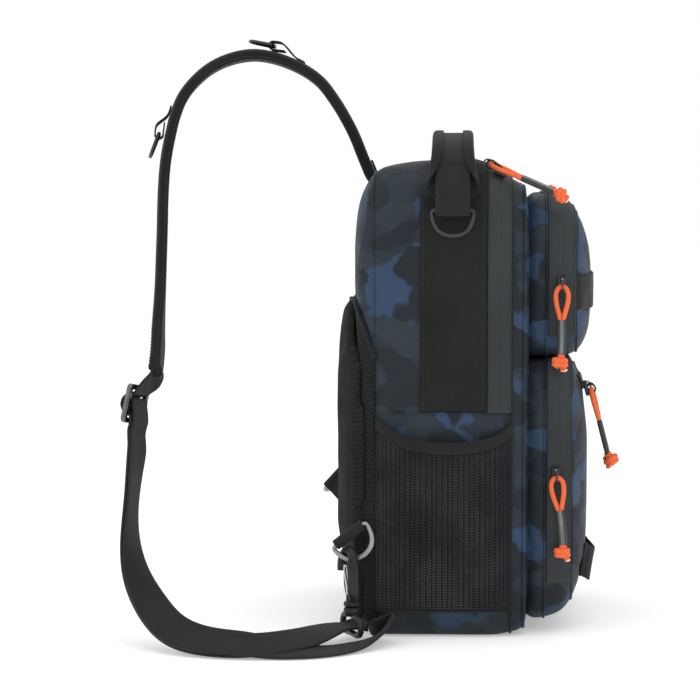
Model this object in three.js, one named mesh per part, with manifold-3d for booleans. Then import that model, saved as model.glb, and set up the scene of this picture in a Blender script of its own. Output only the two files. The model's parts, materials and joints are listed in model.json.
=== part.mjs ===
import * as THREE from 'three';
import { mergeVertices } from 'three/addons/utils/BufferGeometryUtils.js';
import Module from 'manifold-3d';

// A one-strap sling bag standing on its base, in millimetres.
// +Z is up, the pockets face -Y, the wearer's back is at +Y and the near side is -X.
// The origin is the middle of the flat base.

const wasm = await Module();
wasm.setup();

// Driving sizes
const GAP = 0.35;
const CLOTH = 2;
const ZIP_TAPE = 1.1;
const ZIP_GAP = 0.55;
const WEBBING = 1.6;
const WEBBING_WIDTH = 25;
const RING_WIRE = 2;
const RING_HALF_WIDTH = 15;
const RING_DEPTH = 19;
const CORD_RADIUS = 1.7;
const SIDE_BOW = 2.5;
const SEAM_FRONT = -48;
const PANEL_FACE = -60;
const HANDLE_Y = -5.2;

// Sections of each cloth shell across the bag's depth: a rounded rectangle in X and Z at each depth y
const BODY = [
  { y: SEAM_FRONT, halfWidth: 107, bottom: 1.5, top: 331, cornerTop: 38, cornerBottom: 14 },
  { y: -39, halfWidth: 109, bottom: 0, top: 338, cornerTop: 39, cornerBottom: 13 },
  { y: -28, halfWidth: 110, bottom: 0, top: 342, cornerTop: 40, cornerBottom: 12 },
  { y: 8, halfWidth: 110.5, bottom: 0, top: 343, cornerTop: 40, cornerBottom: 12 },
  { y: 33, halfWidth: 110.5, bottom: 0, top: 341, cornerTop: 40, cornerBottom: 12 },
  { y: 50, halfWidth: 109, bottom: 0, top: 337, cornerTop: 40, cornerBottom: 13 },
  { y: 56, halfWidth: 105, bottom: 2, top: 326, cornerTop: 42, cornerBottom: 16 },
  { y: 60.5, halfWidth: 97, bottom: 6, top: 309, cornerTop: 42, cornerBottom: 18 },
  { y: 63.4, halfWidth: 80, bottom: 15, top: 282, cornerTop: 40, cornerBottom: 20 },
];
const BODY_BACK = 64.5;
const FRONT_PANEL = [
  { y: SEAM_FRONT - GAP, halfWidth: 107, bottom: 1.5, top: 331, cornerTop: 38, cornerBottom: 14 },
  { y: -54, halfWidth: 107, bottom: 2.5, top: 328.5, cornerTop: 38, cornerBottom: 15 },
  { y: -58, halfWidth: 105, bottom: 5, top: 325, cornerTop: 38, cornerBottom: 16 },
  { y: -59.6, halfWidth: 100, bottom: 10, top: 319, cornerTop: 36, cornerBottom: 18 },
];
const UPPER_POCKET = [
  { y: PANEL_FACE - GAP, halfWidth: 84.5, bottom: 203, top: 313, cornerTop: 26, cornerBottom: 13 },
  { y: -66, halfWidth: 86.5, bottom: 202.4, top: 318.5, cornerTop: 28, cornerBottom: 14 },
  { y: -74, halfWidth: 87, bottom: 202.4, top: 319.5, cornerTop: 28, cornerBottom: 14 },
  { y: -84, halfWidth: 87, bottom: 202.8, top: 317.5, cornerTop: 28, cornerBottom: 14 },
  { y: -92, halfWidth: 85.5, bottom: 204, top: 311.5, cornerTop: 28, cornerBottom: 15 },
  { y: -97, halfWidth: 81, bottom: 207, top: 304.5, cornerTop: 28, cornerBottom: 17 },
  { y: -101, halfWidth: 73, bottom: 212, top: 295, cornerTop: 27, cornerBottom: 19 },
  { y: -104.5, halfWidth: 57, bottom: 219, top: 284, cornerTop: 25, cornerBottom: 20 },
  { y: -106.6, halfWidth: 35, bottom: 228, top: 274, cornerTop: 18, cornerBottom: 16 },
];
const UPPER_POCKET_FRONT = -107.5;
const LOWER_POCKET = [
  { y: PANEL_FACE - GAP, halfWidth: 90, bottom: 10, top: 199.4, cornerTop: 13, cornerBottom: 22 },
  { y: -66, halfWidth: 92, bottom: 8, top: 200.2, cornerTop: 14, cornerBottom: 24 },
  { y: -75, halfWidth: 92.5, bottom: 9, top: 200.2, cornerTop: 14, cornerBottom: 24 },
  { y: -85, halfWidth: 92, bottom: 13, top: 200, cornerTop: 14, cornerBottom: 24 },
  { y: -91.2, halfWidth: 90, bottom: 19, top: 198.8, cornerTop: 15, cornerBottom: 25 },
  { y: -95.5, halfWidth: 85.5, bottom: 27, top: 196.5, cornerTop: 17, cornerBottom: 26 },
  { y: -99.5, halfWidth: 76, bottom: 38, top: 189, cornerTop: 19, cornerBottom: 26 },
  { y: -103, halfWidth: 59, bottom: 53, top: 176, cornerTop: 20, cornerBottom: 24 },
  { y: -104.7, halfWidth: 37, bottom: 72, top: 158, cornerTop: 16, cornerBottom: 18 },
];
const LOWER_POCKET_FRONT = -105.5;

// Colours with their roughness and metalness
const FINISHES = {
  camo_cloth: { color: 0x39445a, roughness: 0.62, metalness: 0 },
  black_cloth: { color: 0x202224, roughness: 0.85, metalness: 0 },
  zip_tape: { color: 0x454d4d, roughness: 0.55, metalness: 0 },
  mesh: { color: 0x181b1d, roughness: 0.9, metalness: 0 },
  webbing: { color: 0x26282a, roughness: 0.8, metalness: 0 },
  dark_metal: { color: 0x3c4043, roughness: 0.35, metalness: 0.9 },
  grey_metal: { color: 0x8d9294, roughness: 0.35, metalness: 0.9 },
  steel_wire: { color: 0xd5d8da, roughness: 0.2, metalness: 1 },
  black_plastic: { color: 0x1a1c1e, roughness: 0.35, metalness: 0 },
  orange_cord: { color: 0xf2522a, roughness: 0.75, metalness: 0 },
  sleeve: { color: 0x24282b, roughness: 0.5, metalness: 0 },
};

const bag = new THREE.Group();

function addPiece(name, finish, geometry) {
  const mesh = new THREE.Mesh(geometry, new THREE.MeshStandardMaterial(FINISHES[finish]));
  mesh.name = name;
  bag.add(mesh);
}

// Building blocks: a closed skin through rings of points

function vector(x, y, z) {
  return new THREE.Vector3(x, y, z);
}

function signedVolume(positions, index) {
  let volume = 0;
  for (let i = 0; i < index.length; i += 3) {
    const [a, b, c] = [0, 1, 2].map((k) => positions[index[i + k]]);
    volume += a.dot(b.clone().cross(c));
  }
  return volume;
}

function closedGeometry(positions, index) {
  if (signedVolume(positions, index) < 0) {
    index.reverse();
  }
  const geometry = new THREE.BufferGeometry();
  const numbers = positions.flatMap((point) => point.toArray());
  geometry.setAttribute('position', new THREE.Float32BufferAttribute(numbers, 3));
  geometry.setIndex(index);
  geometry.computeVertexNormals();
  return geometry;
}

function centreOf(ring) {
  const sum = ring.reduce((total, point) => total.add(point), vector(0, 0, 0));
  return sum.divideScalar(ring.length);
}

function bridge(index, first, second, count) {
  for (let i = 0; i < count; i += 1) {
    const next = (i + 1) % count;
    index.push(first + i, first + next, second + next);
    index.push(first + i, second + next, second + i);
  }
}

function fan(index, start, count, middle, flipped) {
  for (let i = 0; i < count; i += 1) {
    const next = (i + 1) % count;
    const side = flipped ? [start + next, start + i] : [start + i, start + next];
    index.push(side[0], side[1], middle);
  }
}

// Closes a ring that runs along one face of a sheet and back along the other
function ladder(index, start, count, flipped) {
  for (let i = 0; i + 1 < count / 2; i += 1) {
    const quad = [i, i + 1, count - 2 - i, count - 1 - i].map((k) => start + k);
    const [a, b, c, d] = flipped ? [...quad].reverse() : quad;
    index.push(a, b, c, a, c, d);
  }
}

// Rings joined in order, with a cap at each end, or joined end to start for a closed loop
function loft(rings, { loop = false, sheet = false, startMiddle, endMiddle } = {}) {
  const count = rings[0].length;
  const positions = rings.flat();
  const index = [];
  for (let i = 0; i + 1 < rings.length; i += 1) {
    bridge(index, i * count, (i + 1) * count, count);
  }
  if (loop) {
    bridge(index, (rings.length - 1) * count, 0, count);
    return closedGeometry(positions, index);
  }
  if (sheet) {
    ladder(index, 0, count, true);
    ladder(index, (rings.length - 1) * count, count, false);
    return closedGeometry(positions, index);
  }
  positions.push(startMiddle ?? centreOf(rings[0]));
  positions.push(endMiddle ?? centreOf(rings.at(-1)));
  fan(index, 0, count, positions.length - 2, true);
  fan(index, (rings.length - 1) * count, count, positions.length - 1, false);
  return closedGeometry(positions, index);
}

function solidOf(geometry) {
  const bare = geometry.clone();
  bare.deleteAttribute('normal');
  bare.deleteAttribute('uv');
  const merged = mergeVertices(bare);
  const vertProperties = new Float32Array(merged.attributes.position.array);
  const triVerts = new Uint32Array(merged.index.array);
  return new wasm.Manifold(new wasm.Mesh({ numProp: 3, vertProperties, triVerts }));
}

function unite(...geometries) {
  const joined = geometries.map(solidOf).reduce((sum, solid) => sum.add(solid));
  const mesh = joined.getMesh();
  const geometry = new THREE.BufferGeometry();
  geometry.setAttribute('position', new THREE.BufferAttribute(mesh.vertProperties, 3));
  geometry.setIndex(new THREE.BufferAttribute(mesh.triVerts, 1));
  geometry.computeVertexNormals();
  return geometry;
}

// Shell sections

const CORNER_STEPS = 4;
const SIDE_STEPS = 4;
const LEVEL_STEPS = 2;

function rowAt(rows, y) {
  const ordered = [...rows].sort((a, b) => a.y - b.y);
  const upper = Math.max(1, ordered.findIndex((row) => row.y >= y));
  const [low, high] = [ordered[upper - 1], ordered[upper]];
  const share = THREE.MathUtils.clamp((y - low.y) / (high.y - low.y), 0, 1);
  const mixed = {};
  for (const key of Object.keys(low)) {
    mixed[key] = THREE.MathUtils.lerp(low[key], high[key], share);
  }
  return mixed;
}

function bowAt(row, z) {
  const middle = (row.top + row.bottom) / 2;
  const reach = (z - middle) / ((row.top - row.bottom) / 2);
  return SIDE_BOW * Math.max(0, 1 - reach * reach);
}

function bowed(row, x, z) {
  return vector(x + Math.sign(x) * bowAt(row, z), row.y, z);
}

function cornerPoints(row, out, xSign, zSign) {
  const radius = (zSign > 0 ? row.cornerTop : row.cornerBottom) + out;
  const edge = zSign > 0 ? row.top + out : row.bottom - out;
  const x = xSign * (row.halfWidth + out - radius);
  const z = edge - zSign * radius;
  const points = [];
  for (let i = 0; i <= CORNER_STEPS; i += 1) {
    const angle = (i / CORNER_STEPS) * Math.PI / 2;
    points.push([x + xSign * radius * Math.cos(angle), z + zSign * radius * Math.sin(angle)]);
  }
  return points;
}

function spread(from, to, steps) {
  const points = [];
  for (let i = 1; i < steps; i += 1) {
    points.push([0, 1].map((k) => THREE.MathUtils.lerp(from[k], to[k], i / steps)));
  }
  return points;
}

// The whole outline at one depth, moved outwards by out
function outline(row, out = 0) {
  const corners = [
    cornerPoints(row, out, 1, -1).reverse(),
    cornerPoints(row, out, 1, 1),
    cornerPoints(row, out, -1, 1).reverse(),
    cornerPoints(row, out, -1, -1),
  ];
  const flat = [];
  corners.forEach((corner, i) => {
    const steps = i % 2 === 0 ? SIDE_STEPS : LEVEL_STEPS;
    flat.push(...corner, ...spread(corner.at(-1), corners[(i + 1) % 4][0], steps));
  });
  return flat.map(([x, z]) => bowed(row, x, z));
}

// The part of the outline from a foot on the near side, over the top, to the same foot on the far side
function archLine(row, out, foot) {
  const near = cornerPoints(row, out, -1, 1);
  const far = cornerPoints(row, out, 1, 1).reverse();
  const nearFoot = [near[0][0], foot];
  const farFoot = [far.at(-1)[0], foot];
  const flat = [nearFoot, ...spread(nearFoot, near[0], SIDE_STEPS), ...near];
  flat.push(...spread(near.at(-1), far[0], LEVEL_STEPS), ...far);
  flat.push(...spread(far.at(-1), farFoot, SIDE_STEPS), farFoot);
  return flat.map(([x, z]) => bowed(row, x, z));
}

// Distance of a shell's side from the middle plane at a depth and height
function sideAt(rows, y, z, out) {
  const row = rowAt(rows, y);
  const radius = row.cornerTop + out;
  const rise = Math.max(0, z - (row.top + out - radius));
  const cut = radius - Math.sqrt(Math.max(0, radius * radius - rise * rise));
  return row.halfWidth + out + bowAt(row, z) - cut;
}

function insideRow(row, x, z) {
  if (z <= row.bottom || z >= row.top) {
    return false;
  }
  const radius = z > (row.top + row.bottom) / 2 ? row.cornerTop : row.cornerBottom;
  const room = Math.min(row.top - z, z - row.bottom);
  const rise = Math.max(0, radius - room);
  const cut = radius - Math.sqrt(Math.max(0, radius * radius - rise * rise));
  return Math.abs(x) <= row.halfWidth + bowAt(row, z) - cut;
}

const HALVINGS = 30;

// Depth of a crowned face at a place in X and Z, from its sections and the depth of its middle
function faceDepth(rows, crown, x, z) {
  const last = rows.at(-1);
  if (insideRow(last, x, z)) {
    const away = Math.max(Math.abs(x) / last.halfWidth,
      Math.abs(z - (last.top + last.bottom) / 2) / ((last.top - last.bottom) / 2));
    return THREE.MathUtils.lerp(crown, last.y, Math.min(1, away));
  }
  let [inside, outside] = [rows[1].y, last.y];
  for (let i = 0; i < HALVINGS; i += 1) {
    const middle = (inside + outside) / 2;
    if (insideRow(rowAt(rows, middle), x, z)) {
      inside = middle;
    } else {
      outside = middle;
    }
  }
  return inside;
}

// A cloth cup: outer skin from the rim to the crown, and an inner skin one wall inside it
function cup(rows, crown) {
  const outer = rows.map((row) => outline(row));
  const towards = Math.sign(crown - rows[0].y);
  const inner = rows.map((row, i) => {
    const depth = (i / (rows.length - 1)) ** 2;
    return outline({ ...row, y: row.y - towards * CLOTH * depth }, -CLOTH);
  });
  const middleZ = (rows.at(-1).top + rows.at(-1).bottom) / 2;
  return loft([...inner.reverse(), ...outer], {
    startMiddle: vector(0, crown - towards * CLOTH, middleZ),
    endMiddle: vector(0, crown, middleZ),
  });
}

function zipBand(rows, back, front, foot) {
  const between = rows.map((row) => row.y).filter((y) => y < back - 1 && y > front + 1);
  const depths = [back, ...between, front];
  const inner = depths.map((y) => archLine(rowAt(rows, y), ZIP_GAP, foot));
  const outer = depths.map((y) => archLine(rowAt(rows, y), ZIP_GAP + ZIP_TAPE, foot)).reverse();
  const lines = [...inner, ...outer];
  return loft(lines[0].map((_, i) => lines.map((line) => line[i])), { sheet: true });
}

addPiece('main_body', 'camo_cloth', cup(BODY, BODY_BACK));
addPiece('main_front_panel', 'camo_cloth', cup(FRONT_PANEL, PANEL_FACE));
addPiece('upper_pocket', 'camo_cloth', cup(UPPER_POCKET, UPPER_POCKET_FRONT));
addPiece('lower_pocket', 'camo_cloth', cup(LOWER_POCKET, LOWER_POCKET_FRONT));

// Each zip band lies between two depths and runs down to a foot on both sides
const ZIPS = [
  { name: 'main_zip', rows: BODY, back: -30.5, front: -47.3, foot: 164 },
  { name: 'upper_zip', rows: UPPER_POCKET, back: -74.7, front: -94, foot: 218 },
  { name: 'lower_zip', rows: LOWER_POCKET, back: -74, front: -91.5, foot: 38 },
];
for (const zip of ZIPS) {
  addPiece(zip.name, 'zip_tape', zipBand(zip.rows, zip.back, zip.front, zip.foot));
}

// Side panels, mesh pockets and their bindings, on each side

const SIDES = [{ side: 'near', sign: -1 }, { side: 'far', sign: 1 }];
const PANEL_DEPTHS = [18, 8, -10, -28, -30];
const PANEL_HEIGHTS = [165, 205, 245, 280, 303, 311, 319];
const PANEL_CLOTH = 1.2;

function gridSheet(inner, outer) {
  return loft(inner.map((line, i) => [...line, ...[...outer[i]].reverse()]), { sheet: true });
}

function sidePanel(sign) {
  const line = (z, out) => PANEL_DEPTHS.map((y) => vector(sign * sideAt(BODY, y, z, out), y, z));
  const inner = PANEL_HEIGHTS.map((z) => line(z, GAP));
  const outer = PANEL_HEIGHTS.map((z) => line(z, GAP + PANEL_CLOTH));
  return gridSheet(inner, outer);
}

const POCKET_BACK = 49.6;
const POCKET_FRONT = -47.4;
const POCKET_FLOOR = 20;
const POCKET_MESH = 1.2;
const POCKET_BULGE = { most: 9, atFloor: 0.25, roundness: 0.8, floorShare: 0.2 };
const POCKET_ROWS = 6;
const MOUTH_GAP = 0.003;
const BINDING_HEIGHT = 8;
const BINDING_CLOTH = 2;
const POCKET_COLUMNS = 10;
const MOUTH = [
  { y: POCKET_BACK, z: 160.8 },
  { y: 32, z: 148.8 },
  { y: 10, z: 144.3 },
  { y: -12, z: 143.8 },
  { y: -36, z: 148.2 },
  { y: POCKET_FRONT, z: 156 },
];
const mouthLine = new THREE.SplineCurve(MOUTH.map((row) => new THREE.Vector2(row.y, row.z)));

// How far the mesh stands off the bag: nothing at its sewn edges, most in the middle of the mouth
function pocketBulge(across, up) {
  const { most, atFloor, roundness, floorShare } = POCKET_BULGE;
  const wide = Math.sin(Math.PI * across) ** roundness;
  const high = THREE.MathUtils.lerp(atFloor, 1, Math.sqrt(up)) * Math.min(1, up / floorShare);
  return most * wide * high;
}

// A vertical line of a mesh pocket at a share of its width, between two shares of its height
function pocketLine(sign, across, [from, to], steps, out) {
  const mouth = mouthLine.getPoint(across);
  const points = [];
  for (let i = 0; i <= steps; i += 1) {
    const up = THREE.MathUtils.lerp(from, to, i / steps);
    const z = THREE.MathUtils.lerp(POCKET_FLOOR, mouth.y, up);
    const reach = sideAt(BODY, mouth.x, z, GAP + out) + pocketBulge(across, up);
    points.push(vector(sign * reach, mouth.x, z));
  }
  return points;
}

function pocketSheet(sign, span, steps, thickness) {
  const shares = Array.from({ length: POCKET_COLUMNS + 1 }, (_, i) => i / POCKET_COLUMNS);
  const lines = (out) => shares.map((share) => pocketLine(sign, share, span(share), steps, out));
  return gridSheet(lines(0), lines(thickness));
}

function bindingShare(across) {
  return 1 - BINDING_HEIGHT / (mouthLine.getPoint(across).y - POCKET_FLOOR);
}

function meshPocket(sign) {
  const span = (share) => [0, bindingShare(share) - MOUTH_GAP];
  return pocketSheet(sign, span, POCKET_ROWS, POCKET_MESH);
}

function pocketBinding(sign) {
  const span = (share) => [bindingShare(share), 1];
  return pocketSheet(sign, span, 1, BINDING_CLOTH);
}

for (const { side, sign } of SIDES) {
  addPiece(`side_panel_${side}`, 'black_cloth', sidePanel(sign));
  addPiece(`mesh_pocket_${side}`, 'mesh', meshPocket(sign));
  addPiece(`pocket_binding_${side}`, 'black_cloth', pocketBinding(sign));
}

// Back pad: level sections, each from one side edge to the other

const PAD_CROWN = 78;
const PAD_EDGE = 1.6;
const PAD_SECTIONS = [
  { z: 5, halfWidth: 99, proud: 3 },
  { z: 12, halfWidth: 105, proud: 9 },
  { z: 30, halfWidth: 109, proud: 13 },
  { z: 100, halfWidth: 110.5, proud: 13.5 },
  { z: 160, halfWidth: 110.5, proud: 13.5 },
  { z: 194, halfWidth: 109, proud: 13 },
  { z: 207, halfWidth: 101, proud: 12 },
  { z: 220, halfWidth: 92, proud: 11 },
  { z: 240, halfWidth: 74, proud: 9 },
  { z: 250, halfWidth: 62, proud: 5.5 },
];
const PAD_SHARES = [-1, -0.985, -0.96, -0.92, -0.85, -0.7, -0.4, 0, 0.4, 0.7, 0.85, 0.92, 0.96, 0.985, 1];
const PAD_CLEARANCE = 2;
const PAD_EDGE_POWER = 5;
const BACK_ROWS = BODY.filter((row) => row.y >= 8);
const BACK_FLAT = { low: 17, high: 320 };

function bodyBack(x, z) {
  const height = THREE.MathUtils.clamp(z, BACK_FLAT.low, BACK_FLAT.high);
  return faceDepth(BACK_ROWS, BODY_BACK, x, height);
}

function backPad() {
  const rings = PAD_SECTIONS.map((row) => {
    const inner = PAD_SHARES.map((share) => {
      const x = share * row.halfWidth;
      return vector(x, bodyBack(x, row.z) + PAD_CLEARANCE, row.z);
    });
    const outer = inner.map((point, i) => {
      const rise = Math.sqrt(1 - Math.abs(PAD_SHARES[i]) ** PAD_EDGE_POWER);
      const depth = point.y + THREE.MathUtils.lerp(PAD_EDGE, row.proud, rise);
      return vector(point.x, Math.min(PAD_CROWN, depth), row.z);
    });
    return [...inner, ...outer.reverse()];
  });
  return loft(rings, { sheet: true });
}

addPiece('back_pad', 'mesh', backPad());

// Webbing and zip on the pockets' fronts

const FACE_GAP = 1;

function faceStrip(rows, crown, xs, heights, thickness) {
  const line = (z, out) => xs.map((x) => vector(x, faceDepth(rows, crown, x, z) - FACE_GAP - out, z));
  return gridSheet(heights.map((z) => line(z, 0)), heights.map((z) => line(z, thickness)));
}

const STRIP = {
  xs: [-78, -70, -58, -40, -20, 0, 20, 40, 58, 70, 78],
  heights: [237, 246, 254, 262],
};
const FRONT_ZIP = {
  xs: [-62, -50, -30, 0, 30, 50, 62],
  heights: [177, 183, 188],
};
addPiece('upper_webbing', 'webbing',
  faceStrip(UPPER_POCKET, UPPER_POCKET_FRONT, STRIP.xs, STRIP.heights, WEBBING));
addPiece('front_zip', 'zip_tape',
  faceStrip(LOWER_POCKET, LOWER_POCKET_FRONT, FRONT_ZIP.xs, FRONT_ZIP.heights, ZIP_TAPE));

const LASH_X = 48;
const LASH_WIDTH = 20;
const LASH_LOW = 32;
const LASH_HIGH = 66;
const LASH_RISE = 8.5;
const LASH_ROUNDNESS = 0.5;
const LASH_STEPS = 8;

// A loop of webbing sewn down at its two ends and standing off between them
function lashLoop(sign) {
  const edges = [sign * (LASH_X - LASH_WIDTH / 2), sign * (LASH_X + LASH_WIDTH / 2)];
  const rings = [];
  for (let i = 0; i <= LASH_STEPS; i += 1) {
    const z = THREE.MathUtils.lerp(LASH_LOW, LASH_HIGH, i / LASH_STEPS);
    const rise = LASH_RISE * Math.sin((Math.PI * i) / LASH_STEPS) ** LASH_ROUNDNESS;
    const face = edges.map((x) => faceDepth(LOWER_POCKET, LOWER_POCKET_FRONT, x, z));
    const near = face.map((depth) => depth - FACE_GAP - rise);
    rings.push([
      vector(edges[0], near[0], z),
      vector(edges[1], near[1], z),
      vector(edges[1], near[1] - WEBBING, z),
      vector(edges[0], near[0] - WEBBING, z),
    ]);
  }
  return loft(rings);
}

for (const { side, sign } of SIDES) {
  addPiece(`lash_loop_${side}`, 'webbing', lashLoop(sign));
}

// Strips, wires and rings along a route

// Rows of a route give a point and the direction across the strip, and the strip turns smoothly between them
function frames(rows, stepsPerRow, closed = false) {
  const points = new THREE.CatmullRomCurve3(rows.map((row) => row.at), closed, 'centripetal');
  const acrosses = new THREE.CatmullRomCurve3(rows.map((row) => row.across), closed, 'catmullrom', 0.5);
  const spans = closed ? rows.length : rows.length - 1;
  const count = spans * stepsPerRow;
  const result = [];
  for (let i = 0; i <= count - (closed ? 1 : 0); i += 1) {
    const at = points.getPoint(i / count);
    const along = points.getTangent(i / count);
    const rough = acrosses.getPoint(i / count);
    const across = rough.addScaledVector(along, -rough.dot(along)).normalize();
    result.push({ at, along, across, normal: along.clone().cross(across), share: i / stepsPerRow });
  }
  return result;
}

function place(frame, across, normal) {
  return frame.at.clone().addScaledVector(frame.across, across).addScaledVector(frame.normal, normal);
}

function stripSection(width, thickness) {
  const [a, n] = [width / 2, thickness / 2];
  return [[-a, -n], [a, -n], [a, n], [-a, n]];
}

function roundSection(radius, sides) {
  return Array.from({ length: sides }, (_, i) => {
    const angle = (2 * Math.PI * (i + 0.5)) / sides;
    return [radius * Math.cos(angle), radius * Math.sin(angle)];
  });
}

function sweep(path, section, loop = false) {
  const ringOf = (frame) => section.map(([a, n]) => place(frame, a, n));
  return loft(path.map(ringOf), { loop });
}

function wire(points, across, radius, sides, stepsPerRow, closed = false) {
  const rows = points.map((at) => ({ at, across }));
  return sweep(frames(rows, stepsPerRow, closed), roundSection(radius, sides), closed);
}

// A D ring: a straight bar and a bow hanging from it, both in the plane of along and down
const RING_BAR_HALF = RING_HALF_WIDTH - 1;
const RING_SHOULDER = { half: RING_HALF_WIDTH + 0.6, down: 2 };
const RING_BOW = { start: 4, roundness: 0.85, steps: 6 };
const RING_SIDES = 6;

function dRing(bar, along, down) {
  const spot = (a, d) => bar.clone().addScaledVector(along, a).addScaledVector(down, d);
  const points = [spot(-RING_BAR_HALF, 0), spot(0, 0), spot(RING_BAR_HALF, 0)];
  points.push(spot(RING_SHOULDER.half, RING_SHOULDER.down));
  for (let i = 1; i < RING_BOW.steps; i += 1) {
    const angle = (Math.PI * i) / RING_BOW.steps;
    const depth = THREE.MathUtils.lerp(RING_BOW.start, RING_DEPTH, Math.sin(angle) ** RING_BOW.roundness);
    points.push(spot(RING_HALF_WIDTH * Math.cos(angle), depth));
  }
  points.push(spot(-RING_SHOULDER.half, RING_SHOULDER.down));
  return wire(points, along.clone().cross(down), RING_WIRE, RING_SIDES, 1, true);
}

// A webbing tab folded round a ring's bar: a flat tongue with an eye, as wide as the webbing
const TAB_EYE = RING_WIRE + GAP;
const TAB_STEPS = 10;

function tab(bar, across, away, length) {
  const outer = TAB_EYE + WEBBING;
  const neck = Math.asin(WEBBING / outer);
  const shape = new THREE.Shape();
  shape.moveTo(-length, -WEBBING);
  for (let i = 0; i <= TAB_STEPS; i += 1) {
    const angle = -Math.PI + neck + (2 * (Math.PI - neck) * i) / TAB_STEPS;
    shape.lineTo(outer * Math.cos(angle), outer * Math.sin(angle));
  }
  shape.lineTo(-length, WEBBING);
  const eye = new THREE.Path();
  eye.absarc(0, 0, TAB_EYE / Math.cos(Math.PI / TAB_STEPS), 0, 2 * Math.PI, true);
  shape.holes.push(eye);
  const options = { depth: WEBBING_WIDTH, bevelEnabled: false, curveSegments: TAB_STEPS };
  const geometry = new THREE.ExtrudeGeometry(shape, options);
  geometry.translate(0, 0, -WEBBING_WIDTH / 2);
  const up = across.clone().cross(away);
  geometry.applyMatrix4(new THREE.Matrix4().makeBasis(away, up, across).setPosition(bar));
  return geometry;
}

// Handle: a curled grip strip from side to side, with webbing over it that loops round a ring at each end

const HANDLE_ARCH = [
  { x: -114.8, z: 305, half: 19.5, lip: 0.2 },
  { x: -115.6, z: 317, half: 18.5, lip: 2.2 },
  { x: -113, z: 333, half: 17.5, lip: 2.4 },
  { x: -102, z: 348, half: 16.8, lip: 2.4 },
  { x: -82, z: 357, half: 16.5, lip: 2.4 },
  { x: -48, z: 361, half: 16.5, lip: 2.4 },
  { x: 0, z: 362, half: 16.5, lip: 2.4 },
];
const GRIP_CLOTH = 2.4;
const RING_BAR = { x: 121.2, z: 310 };
const ACROSS_HANDLE = vector(0, -1, 0);
// The arch runs from the near side to the far side, so its outward direction is minus the frame's normal
const HANDLE_OUT = -1;
const HANDLE_LAYER = GRIP_CLOTH / 2 + 2 * GAP + WEBBING / 2;
const HANDLE_LOOP = RING_WIRE + 2 * GAP + WEBBING / 2;

function handleRow(at) {
  return { at, across: ACROSS_HANDLE };
}

function archRows(offset) {
  const onSide = (sign) => (row) => handleRow(vector(sign * row.x, HANDLE_Y, row.z));
  const half = HANDLE_ARCH.map(onSide(1));
  const mirrored = HANDLE_ARCH.slice(0, -1).reverse().map(onSide(-1));
  return frames([...half, ...mirrored], 1).map((frame) => handleRow(place(frame, 0, offset)));
}

// A flat strip whose edges turn up by the lip
function gripSection(half, lip) {
  const [t, floor] = [GRIP_CLOTH / 2, half - lip];
  const [top, bend] = [half - 1, floor - 1];
  return [
    [-half, lip - t], [-floor, -t], [floor, -t], [half, lip - t],
    [top, lip + t], [bend, t], [-bend, t], [-top, lip + t],
  ];
}

function handleGrip() {
  const last = HANDLE_ARCH.length - 1;
  const rings = frames(archRows(0), 2).map((frame) => {
    const fromEnd = Math.min(frame.share, 2 * last - frame.share);
    const index = Math.min(last - 1, Math.floor(fromEnd));
    const [low, high] = [HANDLE_ARCH[index], HANDLE_ARCH[index + 1]];
    const half = THREE.MathUtils.lerp(low.half, high.half, fromEnd - index);
    const lip = THREE.MathUtils.lerp(low.lip, high.lip, fromEnd - index);
    return gripSection(half, lip).map(([a, n]) => place(frame, a, n * HANDLE_OUT));
  });
  return loft(rings, { sheet: true });
}

// The webbing's way round a ring's bar, from its sewn end on the bag's side to the handle's outer face
const RING_LOOP = [
  { degrees: 80, rise: 4 },
  { degrees: 20, rise: 0 },
  { degrees: -40, rise: 0 },
  { degrees: -100, rise: 0 },
  { degrees: -150, rise: 0 },
  { degrees: -180, rise: 0 },
];

function ringLoopRows(sign) {
  return RING_LOOP.map((row) => {
    const angle = THREE.MathUtils.degToRad(row.degrees);
    const x = sign * (RING_BAR.x - HANDLE_LOOP * Math.cos(angle));
    const z = RING_BAR.z + row.rise + HANDLE_LOOP * Math.sin(angle);
    return handleRow(vector(x, HANDLE_Y, z));
  });
}

function handleWebbing() {
  const arch = archRows(HANDLE_OUT * HANDLE_LAYER).slice(2, -2);
  const rows = [...ringLoopRows(-1), ...arch, ...ringLoopRows(1).reverse()];
  return sweep(frames(rows, 2), stripSection(WEBBING_WIDTH, WEBBING));
}

addPiece('handle_grip', 'black_cloth', handleGrip());
addPiece('handle_webbing', 'webbing', handleWebbing());
for (const { side, sign } of SIDES) {
  const bar = vector(sign * RING_BAR.x, HANDLE_Y, RING_BAR.z);
  addPiece(`side_ring_${side}`, 'dark_metal', dRing(bar, vector(0, 1, 0), vector(0, 0, -1)));
}

// Padded strap from the root at the top seam to its free end: its middle line, its width, and how far its
// near edge turns towards the front

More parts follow.
